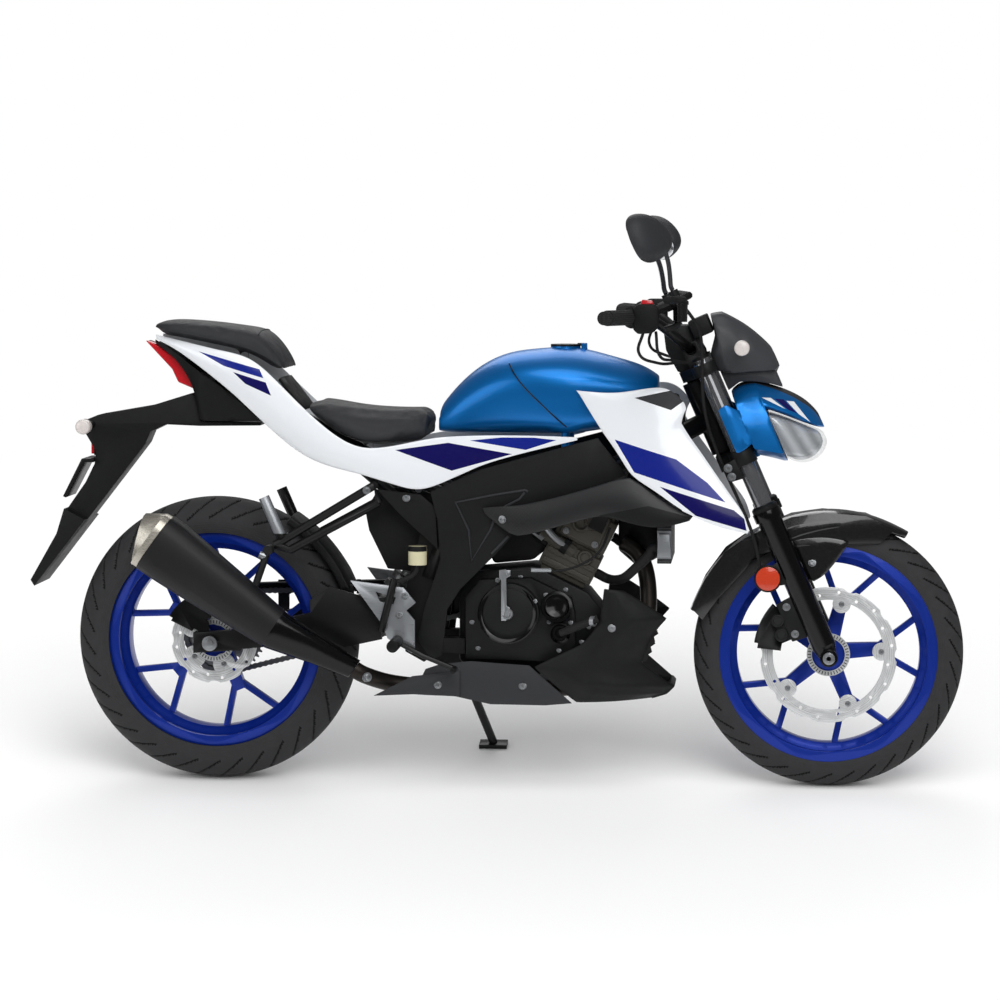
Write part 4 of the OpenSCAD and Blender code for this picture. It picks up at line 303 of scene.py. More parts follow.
def clear_plastic(name, base, alpha, rough=0.05):
    """Clear polycarbonate: mostly seen through, with sharp reflections; faint flutes 6 mm apart."""
    tree, shader = start(name, base, Roughness=rough, Alpha=alpha, Coat_Weight=1.0)
    flutes = add(tree, "TexWave", {"Vector": upright_place(tree), "Scale": 52.0}, bands_direction="Z")
    patterned(tree, shader, flutes, relief=0.0004, strength=0.25)


def coloured_lens(name, base):
    """Dyed acrylic over prisms: deep colour, polished; the 3 mm prisms only break up its reflections."""
    tree, shader = start(name, base, Roughness=0.12, Coat_Weight=0.6, Coat_Roughness=0.02)
    cells = add(tree, "TexVoronoi", {"Vector": upright_place(tree), "Scale": 330.0})
    patterned(tree, shader, cells, base, shade(base, 0.86), 0.0005, 0.25)


def fluted_reflector(name, base):
    """Aluminised bowl behind a lens: flutes some 28 mm apart that lean with the lamp, in bright and dark bands as
    painted reflection.
    """
    tree, shader = start(name, base, Metallic=0.6, Roughness=0.18)
    lean = add(tree, "Mapping", {"Vector": upright_place(tree), "Rotation": (0, math.radians(35), 0)})
    flutes = add(tree, "TexWave", {"Vector": lean, "Scale": 11.0, "Distortion": 1.5}, bands_direction="X")
    # bright and dark bands on the bowl: painted reflection
    patterned(tree, shader, flutes, linear("#3c3f42"), linear("#c3c7ca"), 0.003, 0.5)


def fin_core(name, base):
    """Radiator core: thin aluminium fins, painted black, drawn 8 mm apart to show, with painted shade in the gaps
    and painted highlights on the fins.
    """
    tree, shader = start(name, base, Metallic=0.4, Roughness=0.5)
    # dark gaps as painted shade between the fins, light fin edges as painted highlight
    patterned(tree, shader, crossed(tree, 40.0, 78.0), shade(base, 0.3), shade(base, 1.4), 0.002)


def ribbed_rubber(name, base):
    """Moulded grip rubber: matt, with ribs 4 mm apart along the grip, lighter on the ribs as painted highlight and
    darker between them as painted shade.
    """
    tree, shader = start(name, base, Roughness=0.8)
    # darker grooves as painted shade, lighter ribs as painted highlight
    patterned(tree, shader, crossed(tree, 78.0, 78.0), linear("#0e0e0f"), linear("#242426"), 0.0012)


# Each finish: its maker, a colour (hex or the name of a colour setting) or an axle, and further values.
FINISHES = {
    "metallic_blue_lacquer": (metallic_paint, "paint", 0.7, 0.2),
    "wheel_blue_lacquer": (metallic_paint, "wheel", 0.5, 0.15),
    "white_abs": (gloss_panel, "panel"),
    "royal_stripe_film": (gloss_panel, "royal", 0.2, 0.3),
    "navy_stripe_film": (gloss_panel, "navy", 0.2, 0.3),
    "black_gloss_abs": (gloss_panel, "#060607"),
    "black_polypropylene": (grained_plastic, "plastic"),
    "grey_polypropylene": (grained_plastic, "grey"),
    "smoked_abs": (grained_plastic, "#3a3b3e", 0.4),
    "woven_grey_moulding": (woven_panel, "#151618"),
    "black_powder_coat": (satin_paint, "#0b0b0c"),
    "gloss_black_enamel": (satin_paint, "#040405", 0.16),
    "black_cast_aluminium": (cast_paint, "#0d0e0f"),
    "grey_cast_aluminium": (cast_paint, "#3f3d37", 0.45),
    "satin_aluminium": (brushed_metal, "#9a9da1", 0.36),
    "brushed_stainless": (brushed_metal, "#c2bdb2", 0.3),
    "zinc_steel": (plain_metal, "#9a9da0", 0.3),
    "chrome_plate": (plain_metal, "#7c7d80", 0.1),
    "oiled_steel": (plain_metal, "#6a6b6c", 0.38),
    # brown heat tint, darkened further as painted shade where the pipe lies behind the hose and belly pan
    "heated_stainless": (brushed_metal, "#2b2724", 0.4),
    # also the black in the tank's filler neck and the muffler outlet: painted shade of those holes
    "matt_black_heat_paint": (satin_paint, "#141416", 0.5),
    "front_tyre_rubber": (tyre_rubber, FRONT_AXLE, 0.045),
    "rear_tyre_rubber": (tyre_rubber, REAR_AXLE, 0.065),
    # darker rubber on the groove faces: painted shade in the grooves
    "dark_groove_rubber": (grained_plastic, "#060606", 0.8),
    "front_disc_steel": (disc_steel, FRONT_AXLE),
    "rear_disc_steel": (disc_steel, REAR_AXLE),
    "grained_vinyl": (vinyl, "vinyl"),
    "clear_polycarbonate": (clear_plastic, "#e8edf2", 0.25),
    "milky_fluid_bottle": (clear_plastic, "#d8d2ae", 0.85, 0.3),
    "red_acrylic": (coloured_lens, "lamp"),
    "clear_acrylic": (coloured_lens, "#d4cdc9"),
    "orange_acrylic": (coloured_lens, "#c23a1c"),
    "black_radiator_core": (fin_core, "#3a3b3d"),
    "moulded_rubber": (grained_plastic, "#161617", 0.7),
    "ribbed_grip_rubber": (ribbed_rubber, "#18181a"),
    "aluminised_reflector": (fluted_reflector, "#9a9ea2"),
    "mirror_glass": (plain_metal, "#e6e9ec", 0.02),
    "red_switch_abs": (gloss_panel, "#c01420"),
    "display_glass": (gloss_panel, "#1f2a2c"),
}


def finish(key):
    """The material of one finish, made once."""
    if key not in bpy.data.materials:
        maker, base, *values = FINISHES[key]
        if isinstance(base, str):
            base = linear(base) if base[0] == "#" else getattr(bpy.context.scene.motorcycle_colours, base)
        maker(key, base, *values)
    return bpy.data.materials[key]


# Making pieces


SKINS = {}
SIDES = (-1, 1)  # right and left


def copy_of(node):
    """A CAD node's loose triangles as one merged mesh."""
    bm = bmesh.new()
    bm.from_mesh(frame["nodes"][node].data)
    bmesh.ops.remove_doubles(bm, verts=bm.verts, dist=2e-5)
    return bm


def place(name, bm, body, finishes, sharp=35.0):
    """Puts a mesh in the scene under a name, smooth but for its sharp edges, riding on a body."""
    mesh = bpy.data.meshes.new(name)
    bm.to_mesh(mesh)
    bm.free()
    for key in finishes:
        mesh.materials.append(finish(key))
    mesh.shade_smooth()
    mesh.set_sharp_from_angle(angle=math.radians(sharp))
    obj = bpy.data.objects.new(name, mesh)
    bpy.context.scene.collection.objects.link(obj)
    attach(obj, body)
    return obj


def baked(obj):
    """The object's mesh with its modifiers applied, as a mesh to work on; the object is removed."""
    bpy.context.view_layer.update()
    shown = obj.evaluated_get(bpy.context.evaluated_depsgraph_get())
    bm = bmesh.new()
    bm.from_mesh(shown.to_mesh())
    shown.to_mesh_clear()
    bpy.data.objects.remove(obj)
    return bm


def working(bm, data=None):
    """A passing object that holds a mesh while modifiers work on it."""
    if bm is not None:
        data = bpy.data.meshes.new("work")
        bm.to_mesh(data)
        bm.free()
    obj = bpy.data.objects.new("work", data)
    bpy.context.scene.collection.objects.link(obj)
    return obj


def modified(bm, kind, **settings):
    """The mesh after one modifier."""
    obj = working(bm)
    mod = obj.modifiers.new("work", kind)
    for key, value in settings.items():
        setattr(mod, key, value)
    return baked(obj)


def rounded(bm, crease):
    """Triangles joined to quads and rounded by subdivision; edges sharper than an angle are held."""
    bmesh.ops.join_triangles(bm, faces=bm.faces, angle_face_threshold=math.radians(30),
                             angle_shape_threshold=math.radians(70))
    hold = bm.edges.layers.float.get("crease_edge") or bm.edges.layers.float.new("crease_edge")
    for e in bm.edges:
        if len(e.link_faces) != 2 or e.calc_face_angle(0) > math.radians(crease):
            e[hold] = 0.85
    return modified(bm, "SUBSURF", levels=2, render_levels=2)


def machined(node, width):
    """A node with its flat faces made whole and every hard edge given a small round, in mm."""
    bm = copy_of(node)
    bmesh.ops.dissolve_limit(bm, angle_limit=math.radians(0.6), verts=bm.verts, edges=bm.edges)
    if width:
        bm = modified(bm, "BEVEL", width=width * MM, segments=2, limit_method="ANGLE",
                      angle_limit=math.radians(30))
    return bm


def split_along(bm, point, normal):
    return bmesh.ops.bisect_plane(bm, geom=bm.faces[:] + bm.edges[:] + bm.verts[:], dist=1e-6, plane_co=point,
                                  plane_no=normal)["geom_cut"]


def painted(bm, slot, outline, matrix=UPRIGHT, sides=SIDES, least=0.1):
    """Faces inside a convex outline, in mm from the side, get another finish; the mesh is cut along it.

    Only faces that look outwards by the least amount are painted."""
    spots = [Vector((x * MM, 0, z * MM)) for x, z in outline]
    middle = sum(spots, Vector()) / len(spots)
    planes = []
    for a, b in zip(spots, spots[1:] + spots[:1]):
        normal = Vector((-(b.z - a.z), 0, b.x - a.x)).normalized()
        if normal.dot(middle - a) < 0:
            normal = -normal
        planes.append((a, normal))
        split_along(bm, matrix @ a, matrix.to_3x3() @ normal)
    back = matrix.inverted()
    for f in bm.faces:
        c = back @ f.calc_center_median()
        out = (back.to_3x3() @ f.normal).y * c.y > least * abs(c.y) and math.copysign(1, c.y) in sides
        if out and all(n.dot(Vector((c.x, 0, c.z)) - a) > -1e-7 for a, n in planes):
            f.material_index = slot


def striped(bm, *stripes):
    """The mesh after its stripes: each the number of a finish, then the points of an outline."""
    for slot, *outline in stripes:
        painted(bm, slot, outline)
    return bm


def dress(node, finishes, bm, sharp=35.0):
    """A finished mesh takes a CAD node's place."""
    obj = place(node + "_dressed", bm, BODY_OF[node], finishes, sharp)
    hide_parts(node)
    return obj


def dress_plain(**table):
    """Machined nodes, each with its finish and edge rounding in mm."""
    for node, (key, width) in table.items():
        dress(node, [key], machined(node, width))


def dress_round(**table):
    """Lofted nodes, each with its finish and the angle above which an edge stays sharp."""
    for node, (key, crease) in table.items():
        dress(node, [key], rounded(copy_of(node), crease))


def skin(node, matrix):
    """Search tree of a CAD node's faces in the frame of a matrix."""
    key = (node, str(matrix))
    if key not in SKINS:
        bm = copy_of(node)
        bm.transform(matrix.inverted())
        SKINS[key] = BVHTree.FromBMesh(bm)
        bm.free()
    return SKINS[key]


def cast(nodes, start, way, matrix=UPRIGHT):
    """The place where a ray from a start in mm first meets some nodes; its Z points out of the face."""
    hits = [skin(node, matrix).ray_cast(Vector(start) * MM, Vector(way)) for node in nodes.split()]
    hits = [hit for hit in hits if hit[0]]
    if not hits:
        raise ValueError(f"nothing of {nodes} from {start}")
    spot, normal = min(hits, key=lambda hit: hit[3])[:2]
    return matrix @ Matrix.Translation(spot) @ normal.to_track_quat("Z", "Y").to_matrix().to_4x4()


def on_side(nodes, x, z, side=-1, matrix=UPRIGHT):
    """The place on the outermost of some nodes at x and z in mm, seen from one side."""
    return cast(nodes, (x, side * 1000, z), (0, -side, 0), matrix)


def at(x, y, z, matrix=UPRIGHT):
    """A place given in mm."""
    return matrix @ Matrix.Translation(Vector((x, y, z)) * MM)


def facing(x, y, z, side=-1, matrix=UPRIGHT):
    """A place given in mm whose Z points to one side."""
    return at(x, y, z, matrix) @ Matrix.Rotation(math.radians(-90 * side), 4, "X")


def upright_mm(point):
    return (UPRIGHT.inverted() @ point) / MM


def traced(nodes, line, side):
    """Points in mm on the skin of some nodes, along a line of x and z seen from one side."""
    return [upright_mm(on_side(nodes, x, z, side).translation) for x, z in line]


def turned(spot, profile, steps=24):
    """A turned shape round a place's Z: pairs of radius and height in mm, spun once round."""
    bm = bmesh.new()
    verts = [bm.verts.new((r * MM, 0, h * MM)) for r, h in profile]
    edges = [bm.edges.new(pair) for pair in zip(verts, verts[1:])]
    bmesh.ops.spin(bm, geom=verts + edges, cent=(0, 0, 0), axis=(0, 0, 1), angle=2 * math.pi, steps=steps,
                   use_merge=True)
    bmesh.ops.remove_doubles(bm, verts=bm.verts, dist=1e-6)
    bmesh.ops.recalc_face_normals(bm, faces=bm.faces)
    bm.transform(spot)
    return bm


def plate(outline, low, high, edge=0.0, matrix=UPRIGHT, bend=None):
    """A flat plate: an outline of x and z in mm, between two sides y in mm, with rounded edges.

    A bend gives the new y of a point from its x and y, in mm."""
    bm = bmesh.new()
    face = bm.faces.new([bm.verts.new((x * MM, low * MM, z * MM)) for x, z in outline])
    made = bmesh.ops.extrude_face_region(bm, geom=[face])["geom"]
    bmesh.ops.translate(bm, vec=(0, (high - low) * MM, 0),
                        verts=[v for v in made if isinstance(v, bmesh.types.BMVert)])
    bmesh.ops.recalc_face_normals(bm, faces=bm.faces)
    if edge:
        bmesh.ops.bevel(bm, geom=bm.edges[:], offset=edge * MM, offset_type="OFFSET", segments=2, profile=0.5,
                        affect="EDGES", material=-1, clamp_overlap=True)
    if bend:
        for v in bm.verts:
            v.co.y = bend(v.co.x / MM, v.co.y / MM) * MM
    bm.transform(matrix)
    return bm


def pair(outline, low, high, edge, **more):
    """The same plate on both sides."""
    return [plate(outline, side * low, side * high, edge, **more) for side in SIDES]


def pipe(points, r, straight=False):
    """A round bar or line through points in mm, bent smoothly or with straight runs."""
    curve = bpy.data.curves.new("work", "CURVE")
    curve.dimensions, curve.bevel_depth, curve.bevel_resolution = "3D", r * MM, 3
    curve.use_fill_caps, curve.resolution_u = True, 8
    line = curve.splines.new("BEZIER")
    line.bezier_points.add(len(points) - 1)
    for knot, p in zip(line.bezier_points, points):
        knot.co = UPRIGHT @ (Vector(p) * MM)
        knot.handle_left_type = knot.handle_right_type = "VECTOR" if straight else "AUTO"
    bm = baked(working(None, curve))
    bmesh.ops.recalc_face_normals(bm, faces=bm.faces)
    return bm


def assembled(name, node, **parts):
    """A new piece that rides with a node: lists of meshes, each list under the name of its finish."""
    whole = bmesh.new()
    for slot, meshes in enumerate(parts.values()):
        for part in meshes:
            for f in part.faces:
                f.material_index = slot
            work = bpy.data.meshes.new("work")
            part.to_mesh(work)
            part.free()
            whole.from_mesh(work)
            bpy.data.meshes.remove(work)
    place(name, whole, BODY_OF[node], parts)


def bolt():
    """Radius of a cap screw in mm."""
    return bpy.context.scene.motorcycle_sizes.bolt / MM


def screw(spot, r):
    """A cap screw with its washer and a socket in the head, r in mm."""
    profile = ((0, -1), (1.3, -1), (1.3, 0.12), (1, 0.15), (0.97, 0.7), (0.82, 0.86), (0.52, 0.88),
               (0.46, 0.35), (0, 0.35))
    return turned(spot, [(x * r, h * r) for x, h in profile], 16)


def screws(name, nodes, spots, sides=SIDES, share=1.0):
    """Cap screws on the skin of some nodes, with a share of the usual radius."""
    assembled(name, nodes.split()[0],
              zinc_steel=[screw(on_side(nodes, x, z, side), bolt() * share)
                          for side in sides for x, z in spots])


# Pieces


class MOTORCYCLE_OT_bodywork(bpy.types.Operator):
    """Painted and moulded panels, with their stripes"""

    bl_idname = "motorcycle.bodywork"
    bl_label = "Bodywork"

    def execute(self, context):
        self.tank()
        dress_plain(fuel_cap=("black_powder_coat", 1.5))
        dress("shrouds", ["white_abs", "royal_stripe_film", "navy_stripe_film", "grey_polypropylene"],
              striped(rounded(copy_of("shrouds"), 38),
                      (1, (208, 751), (338, 711), (403, 663), (442, 622), (250, 683)),
                      (2, (304, 654), (459, 606), (481, 588), (486, 563), (380, 594)),
                      (3, (249, 838), (336, 856), (353, 832), (326, 813))))
        # black liners close the space between the shrouds and the steering head
        liner = [(300, 850), (336, 836), (350, 800), (350, 700), (342, 640), (330, 640), (290, 700)]
        assembled("shroud_liners", "shrouds", black_polypropylene=pair(liner, 52, 57, 1.5))
        dress("tail_cowl", ["white_abs", "royal_stripe_film", "navy_stripe_film"],
              striped(rounded(copy_of("tail_cowl"), 38),
                      (1, (-685, 931), (-551, 894), (-542, 875), (-629, 901)),
                      (2, (-608, 888), (-537, 866), (-525, 838), (-581, 863)),
                      (2, (-258, 725), (-145, 741), (-9, 718), (-137, 682)),
                      (1, (-99, 746), (-31, 753), (37, 753), (85, 748), (20, 727))))
        bm = striped(rounded(copy_of("headlight_cowl"), 45),
                     (1, (515, 837), (534, 836), (565, 813), (552, 819)),
                     (2, (542, 834), (561, 832), (590, 803), (571, 811)),
                     (1, (567, 829), (583, 827), (618, 784), (594, 801)))
        above = UPRIGHT @ Matrix.Rotation(math.radians(90), 4, "X")
        painted(bm, 3, [(455, -40), (455, 40), (600, 32), (655, 14), (655, -14), (600, -32)], above)
        dress("headlight_cowl",
              ["metallic_blue_lacquer", "white_abs", "navy_stripe_film", "grey_polypropylene"], bm)
        dress("air_ducts", ["woven_grey_moulding", "black_polypropylene"],
              striped(rounded(copy_of("air_ducts"), 16),
                      (1, (176, 592), (280, 613), (300, 556), (230, 556)),
                      (1, (280, 613), (374, 588), (368, 568), (300, 556))))
        dress_round(belly_pan=("black_polypropylene", 14), tail_inner=("black_polypropylene", 38),
                    front_fender=("black_gloss_abs", 38), visor=("smoked_abs", 22),
                    chain_guard=("black_polypropylene", 38))
        dress_plain(frame_covers=("black_polypropylene", 2.0), under_covers=("grey_polypropylene", 1.2),
                    plate_hanger=("black_polypropylene", 5.0))
        # moulded ribs on the frame covers
        ribs = [[(24, 638), (17, 641), (-50, 630), (-130, 614), (-102, 555), (-96, 490), (-56, 556),
                 (-40, 598), (6, 622), (17, 636)], [(-54, 505), (-18, 543)]]
        assembled("cover_ribs", "frame_covers",
                  grey_polypropylene=[pipe(traced("frame_covers", rib, side), 2.6, True)
                                      for rib in ribs for side in SIDES])
        teeth = [(262, 344), (298, 340), (288, 322), (293, 312), (283, 305), (286, 294), (277, 288),
                 (275, 276), (258, 272)]
        assembled("pan_louvres", "belly_pan", black_polypropylene=pair(teeth, 84, 90, 0.8))
        # number plate bracket and rear reflector
        bracket = [(-992, 615), (-950, 697), (-924, 697), (-924, 689), (-945, 689), (-986, 612)]
        assembled("plate_bracket", "plate_hanger",
                  black_powder_coat=[plate(bracket, -52, 52, 0.8)],
                  red_acrylic=[plate([(-934, 735), (-934, 706), (-927, 706), (-927, 735)], -26, 26, 1.0)],
                  black_polypropylene=[plate([(-928, 738), (-928, 703), (-918, 703), (-918, 738)],
                                             -28, 28, 1.5)])
        screws("panel_screws", "air_ducts tail_cowl frame_covers", [(-29, 580), (-236, 622)])
        screws("pan_screws", "belly_pan under_covers", [(202, 349), (12, 222)])
        return {"FINISHED"}

    def tank(self):
        """The tank with its seams and, under the lid, the filler mouth: a bare rim and a neck painted dark as
        painted shade of the hole.
        """
        bm = copy_of("fuel_tank")
        rim = 941.5
        top = [f for f in bm.faces if all(abs(upright_mm(v.co).z - rim) < 0.1 for v in f.verts)]
        mouth = bmesh.ops.dissolve_faces(bm, faces=top)["region"]
        for f in bmesh.ops.inset_region(bm, faces=mouth, thickness=7 * MM)["faces"]:
            f.material_index = 1
        # the neck, pressed down 18 mm and closed, is painted black: painted shade of the open filler
        for f in bmesh.ops.inset_region(bm, faces=mouth, thickness=MM, depth=-18 * MM)["faces"] + mouth:
            f.material_index = 2
        dress("fuel_tank", ["metallic_blue_lacquer", "zinc_steel", "matt_black_heat_paint"], rounded(bm, 50))
        seam = [(-19, 907), (-4, 884), (13, 862), (34, 840), (56, 819), (70, 805), (84, 792), (104, 774)]
        assembled("tank_seams", "fuel_tank",
                  black_gloss_abs=[pipe(traced("fuel_tank", seam, side), 1.4) for side in SIDES])


class MOTORCYCLE_OT_seats(bpy.types.Operator):
    """Rider and pillion seats, foam under grained vinyl"""

    bl_idname = "motorcycle.seats"
    bl_label = "Seats"

    def execute(self, context):
        for node in ("rider_seat", "pillion_seat"):
            bm = rounded(copy_of(node), 75)
            bm = self.swollen(context.scene, bm)
            top = BVHTree.FromBMesh(bm)
            obj = dress(node, ["grained_vinyl"], bm, 60)
            if node == "pillion_seat":
                self.seam(top)
        return {"FINISHED"}

    def swollen(self, scene, bm):
        """The seat a little shrunk, remeshed and blown up by a cloth simulation, as foam fills its cover."""
        inset, most, frames = 0.004, 0.006, 20
        bm = modified(bm, "REMESH", mode="VOXEL", voxel_size=0.005)
        bm.normal_update()
        for v in bm.verts:
            v.co -= v.normal * inset
        before = [v.co.copy() for v in bm.verts]
        obj = working(bm)
        cloth = obj.modifiers.new("foam", "CLOTH")
        cloth.settings.use_pressure = True
        cloth.settings.uniform_pressure_force = 4.0
        cloth.settings.effector_weights.gravity = 0.0
        cloth.point_cache.frame_start, cloth.point_cache.frame_end = 1, frames
        for step in range(1, frames + 1):
            scene.frame_set(step)
        bm = baked(obj)
        scene.frame_set(1)
        for v, rest in zip(bm.verts, before):
            move = v.co - rest
            if move.length > most:
                v.co = rest + move * (most / move.length)
        bmesh.ops.smooth_vert(bm, verts=bm.verts, factor=0.5,
                              use_axis_x=True, use_axis_y=True, use_axis_z=True)
        return modified(bm, "SUBSURF", levels=1, render_levels=1)

    def seam(self, top):
        """A welted seam across the pillion seat, laid on its cover."""
        down = UPRIGHT.to_3x3() @ Vector((0, 0, -1))
        hits = [top.ray_cast(at(-557, -84 + 10.5 * k, 1200).translation, down)[0] for k in range(17)]
        line = [upright_mm(spot) for spot in hits if spot]
        assembled("pillion_seam", "pillion_seat", grained_vinyl=[pipe(line, 1.8)])


class MOTORCYCLE_OT_lamps(bpy.types.Operator):
    """Headlamp, rear lamp, turn signals and reflectors"""

    bl_idname = "motorcycle.lamps"
    bl_label = "Lamps"

    def execute(self, context):
        dress_round(headlamp=("clear_polycarbonate", 60))
        # aluminised reflector behind the lens: the lens form drawn in and set back
        bm = rounded(copy_of("headlamp"), 60)
        middle = sum((v.co for v in bm.verts), Vector()) / len(bm.verts)
        bmesh.ops.scale(bm, vec=(0.9, 0.9, 0.9), space=Matrix.Translation(-middle), verts=bm.verts)
        bmesh.ops.translate(bm, vec=UPRIGHT.to_3x3() @ Vector((-0.004, 0, 0)), verts=bm.verts)
        assembled("headlamp_reflector", "headlamp", aluminised_reflector=[bm])
        dress_plain(tail_light=("red_acrylic", 3))
        self.indicators("front_indicators", FORK)
        self.indicators("rear_indicators", UPRIGHT)
        return {"FINISHED"}

    def indicators(self, node, matrix):
        """A pair of turn signals: black stalks, and lenses from a share of their reach outwards."""
        bm = machined(node, 5)
        back = matrix.inverted()
        reach = [abs((back @ v.co).y) for v in bm.verts]
        limit = min(reach) + (max(reach) - min(reach)) * 0.35
        for side in SIDES:
            split_along(bm, matrix @ Vector((0, side * limit, 0)), matrix.to_3x3() @ Vector((0, 1, 0)))
        for f in bm.faces:
            f.material_index = int(abs((back @ f.calc_center_median()).y) > limit)
        dress(node, ["black_polypropylene", "clear_acrylic"], bm)


class MOTORCYCLE_OT_engine(bpy.types.Operator):
    """Engine, cooling and exhaust"""

    bl_idname = "motorcycle.engine"
    bl_label = "Engine"

    def execute(self, context):
        dress_plain(crankcase=("black_cast_aluminium", 4), engine_covers=("black_cast_aluminium", 4),
                    muffler_cap=("brushed_stainless", 0), cylinder_top=("grey_cast_aluminium", 5))
        # the exhaust pipe is partly heat tinted and partly darkened as painted shade behind the hose and belly pan
        dress_round(coolant_hoses=("moulded_rubber", 60), exhaust_pipe=("heated_stainless", 60))
        bm = machined("radiator", 2)
        painted(bm, 1, [(290, 556), (334, 556), (334, 496), (290, 496)], sides=(-1,))
        dress("radiator", ["black_radiator_core", "satin_aluminium"], bm)
        self.exhaust()
        self.covers()
        self.head()
        # air box under the tank and the fan behind the radiator
        box = [(-70, 612), (90, 640), (140, 612), (96, 560), (58, 508), (28, 484), (-56, 476), (-78, 524)]
        fan = [(208, 664), (296, 664), (296, 486), (252, 462), (208, 500)]
        assembled("air_box_and_fan", "radiator",
                  black_polypropylene=[plate(box, -42, 42, 6), plate(fan, 26, 108, 6)])
        return {"FINISHED"}

    def exhaust(self):
        """Muffler with its outlet closed by a dark disc as painted shade, and the heat guard over the pipe, flared
        out with it at the rear.
        """
        bm = machined("muffler", 0)
        painted(bm, 1, [(-482, 392), (-300, 330), (-300, 200), (-420, 200), (-539, 307)],
                sides=(-1,), least=-2)
        dress("muffler", ["matt_black_heat_paint", "gloss_black_enamel"], bm)
        end = cast("muffler_cap", (-1200, -192, 532), (1, 0, 0))
        lip = [(16, -3), (24, -3), (24, 3), (21, 5), (18, 5), (16, 3), (16, -3)]
        # a black disc closes the outlet inside its lip: painted shade of the hole
        assembled("muffler_outlet", "muffler_cap", brushed_stainless=[turned(end, lip, 32)],
                  matt_black_heat_paint=[turned(end, [(0, 0.6), (17, 0.6), (17, -2), (0, -2)], 32)])
        screws("muffler_screws", "muffler exhaust_pipe", [(-539, 501), (-315, 243)], (-1,), 1.2)
        guard = [(-302, 204), (-262, 223), (-224, 241), (-122, 253), (-122, 199), (-224, 202), (-262, 203)]
        flared = plate(guard, -123, -119.5, 0.8, bend=lambda x, y: y - max(0, -222 - x) * 0.55)
        assembled("pipe_guard", "under_covers", grey_polypropylene=[flared],
                  zinc_steel=[screw(facing(-169, -123, 223), bolt())])

    def covers(self):
        """Screws, clutch arm and oil and water pump on the right engine cover, and the clutch cable."""
        covers = "engine_covers crankcase"
        screws("cover_screws", covers,
               [(60, 416), (100, 424), (67, 358), (113, 357), (150, 344), (134, 312), (88, 297), (39, 405),
                (3, 450), (-43, 446), (-98, 356), (-85, 300)], (-1,), 0.62)
        disc, oil, pump = on_side(covers, -19, 378), on_side(covers, 85, 393), on_side(covers, 92, 336)
        ring = [(54, -2), (63.5, -2), (63.5, 2), (61, 4.5), (58, 2.5), (54, 1.2), (54, -2)]
        pivot = [(0, 10), (6, 10), (7, 6.5), (11, 6.5), (12.5, 4), (12.5, -1), (0, -1)]
        dome = [(0, 7), (17, 7), (20, 9), (24, 9), (26, 6), (27, 2), (33, 1), (34, -2), (0, -2)]
        hub = [(0, 5), (8, 5), (10, 8), (16, 8), (19, 3), (22, -2), (0, -2)]
        arm = [(-32, 364), (-22, 364), (-14, 372), (-13, 392), (-20, 396), (-21, 455), (-12, 460), (-12, 472),
               (-36, 472), (-36, 456), (-32, 450)]
        y, front = upright_mm(disc.translation).y, upright_mm(pump.translation).y
        clip = facing(158, front - 6.6, 363.5) @ Matrix.Rotation(math.radians(68), 4, "Y")
        assembled("clutch_and_pump", "engine_covers",
                  gloss_black_enamel=[turned(disc, ring, 64), turned(oil, dome, 40), turned(pump, hub, 32)],
                  zinc_steel=[turned(disc, pivot), plate(arm, y - 7, y - 2, 1.2),
                              turned(clip, [(8, 0), (11, 0), (11, 9), (8, 9), (8, 0)])],
                  moulded_rubber=[pipe([(92, front - 4, 336), (130, front - 8, 352),
                                        (172, front - 6, 369)], 8.5)])
        cable = [(-30, -128, 468), (28, -124, 471), (91, -112, 469), (144, -104, 486),
                 (176, -98, 512), (196, -92, 560)]
        assembled("clutch_cable", "engine_covers", moulded_rubber=[pipe(cable, 2.6)],
                  zinc_steel=[pipe([(30, -124, 471), (72, -117, 470)], 4.6),
                              pipe([(-36, -128, 466), (-22, -128, 468)], 5.0)])

    def head(self):
        """Head cover with its plugs, intake, injector and hoses, on the barrel that leans forward."""
        barrel = at(89.9, 0, 445.9) @ Matrix.Rotation(math.radians(26), 4, "Y")
        throat = at(-52, -6, 118, barrel) @ Matrix.Rotation(math.radians(-82), 4, "Y")
        wall = -64
        cover = [(-50, 88), (-44, 160), (-30, 178), (26, 178), (40, 160), (44, 88)]
        plates = [cover] + [[(-56, z), (-56, z + 12), (56, z + 12), (56, z)] for z in (18, 42)]
        plug = [(0, 8), (10, 8), (13, 5), (17, 5), (20, -2), (0, -2)]
        eye = [(13, -2), (21, -2), (21, 5), (18, 8), (15, 8), (13, 5), (13, -2)]
        cap = [(0, 3), (9, 3), (11, 6), (15, 6), (17, -2), (0, -2)]
        intake = [(0, -6), (24, -6), (24, 8), (20, 10), (20, 24), (25, 26), (25, 44), (31, 46), (31, 62),
                  (28, 64), (28, 84), (0, 84)]
        assembled("head_cover_and_intake", "cylinder_top",
                  grey_cast_aluminium=[
                      *(plate(line, wall, -wall, edge, barrel) for line, edge in zip(plates, (6, 3, 3))),
                      turned(facing(8, wall, 140, -1, barrel), plug, 32),
                      turned(facing(-14, wall, 128, -1, barrel), eye, 32),
                      turned(facing(26, wall, 64, -1, barrel), cap, 28),
                      pipe([(24, -52, 560), (70, -54, 532), (118, -54, 502)], 15)],
                  zinc_steel=[
                      *(screw(facing(x, wall, z, -1, barrel), 5.5)
                        for x, z in ((-36, 98), (32, 98), (-28, 164), (24, 164))),
                      pipe([(60, -76, 556), (76, -72, 536), (96, -66, 520)], 7),
                      pipe([(30, -62, 548), (52, -64, 532)], 6)],
                  black_polypropylene=[
                      turned(throat, intake, 32),
                      pipe([(34, -52, 555), (48, -53, 547)], 19), pipe([(92, -54, 519), (104, -54, 511)], 19),
                      pipe([(20, -46, 560), (34, -50, 540), (60, -58, 520)], 9)])


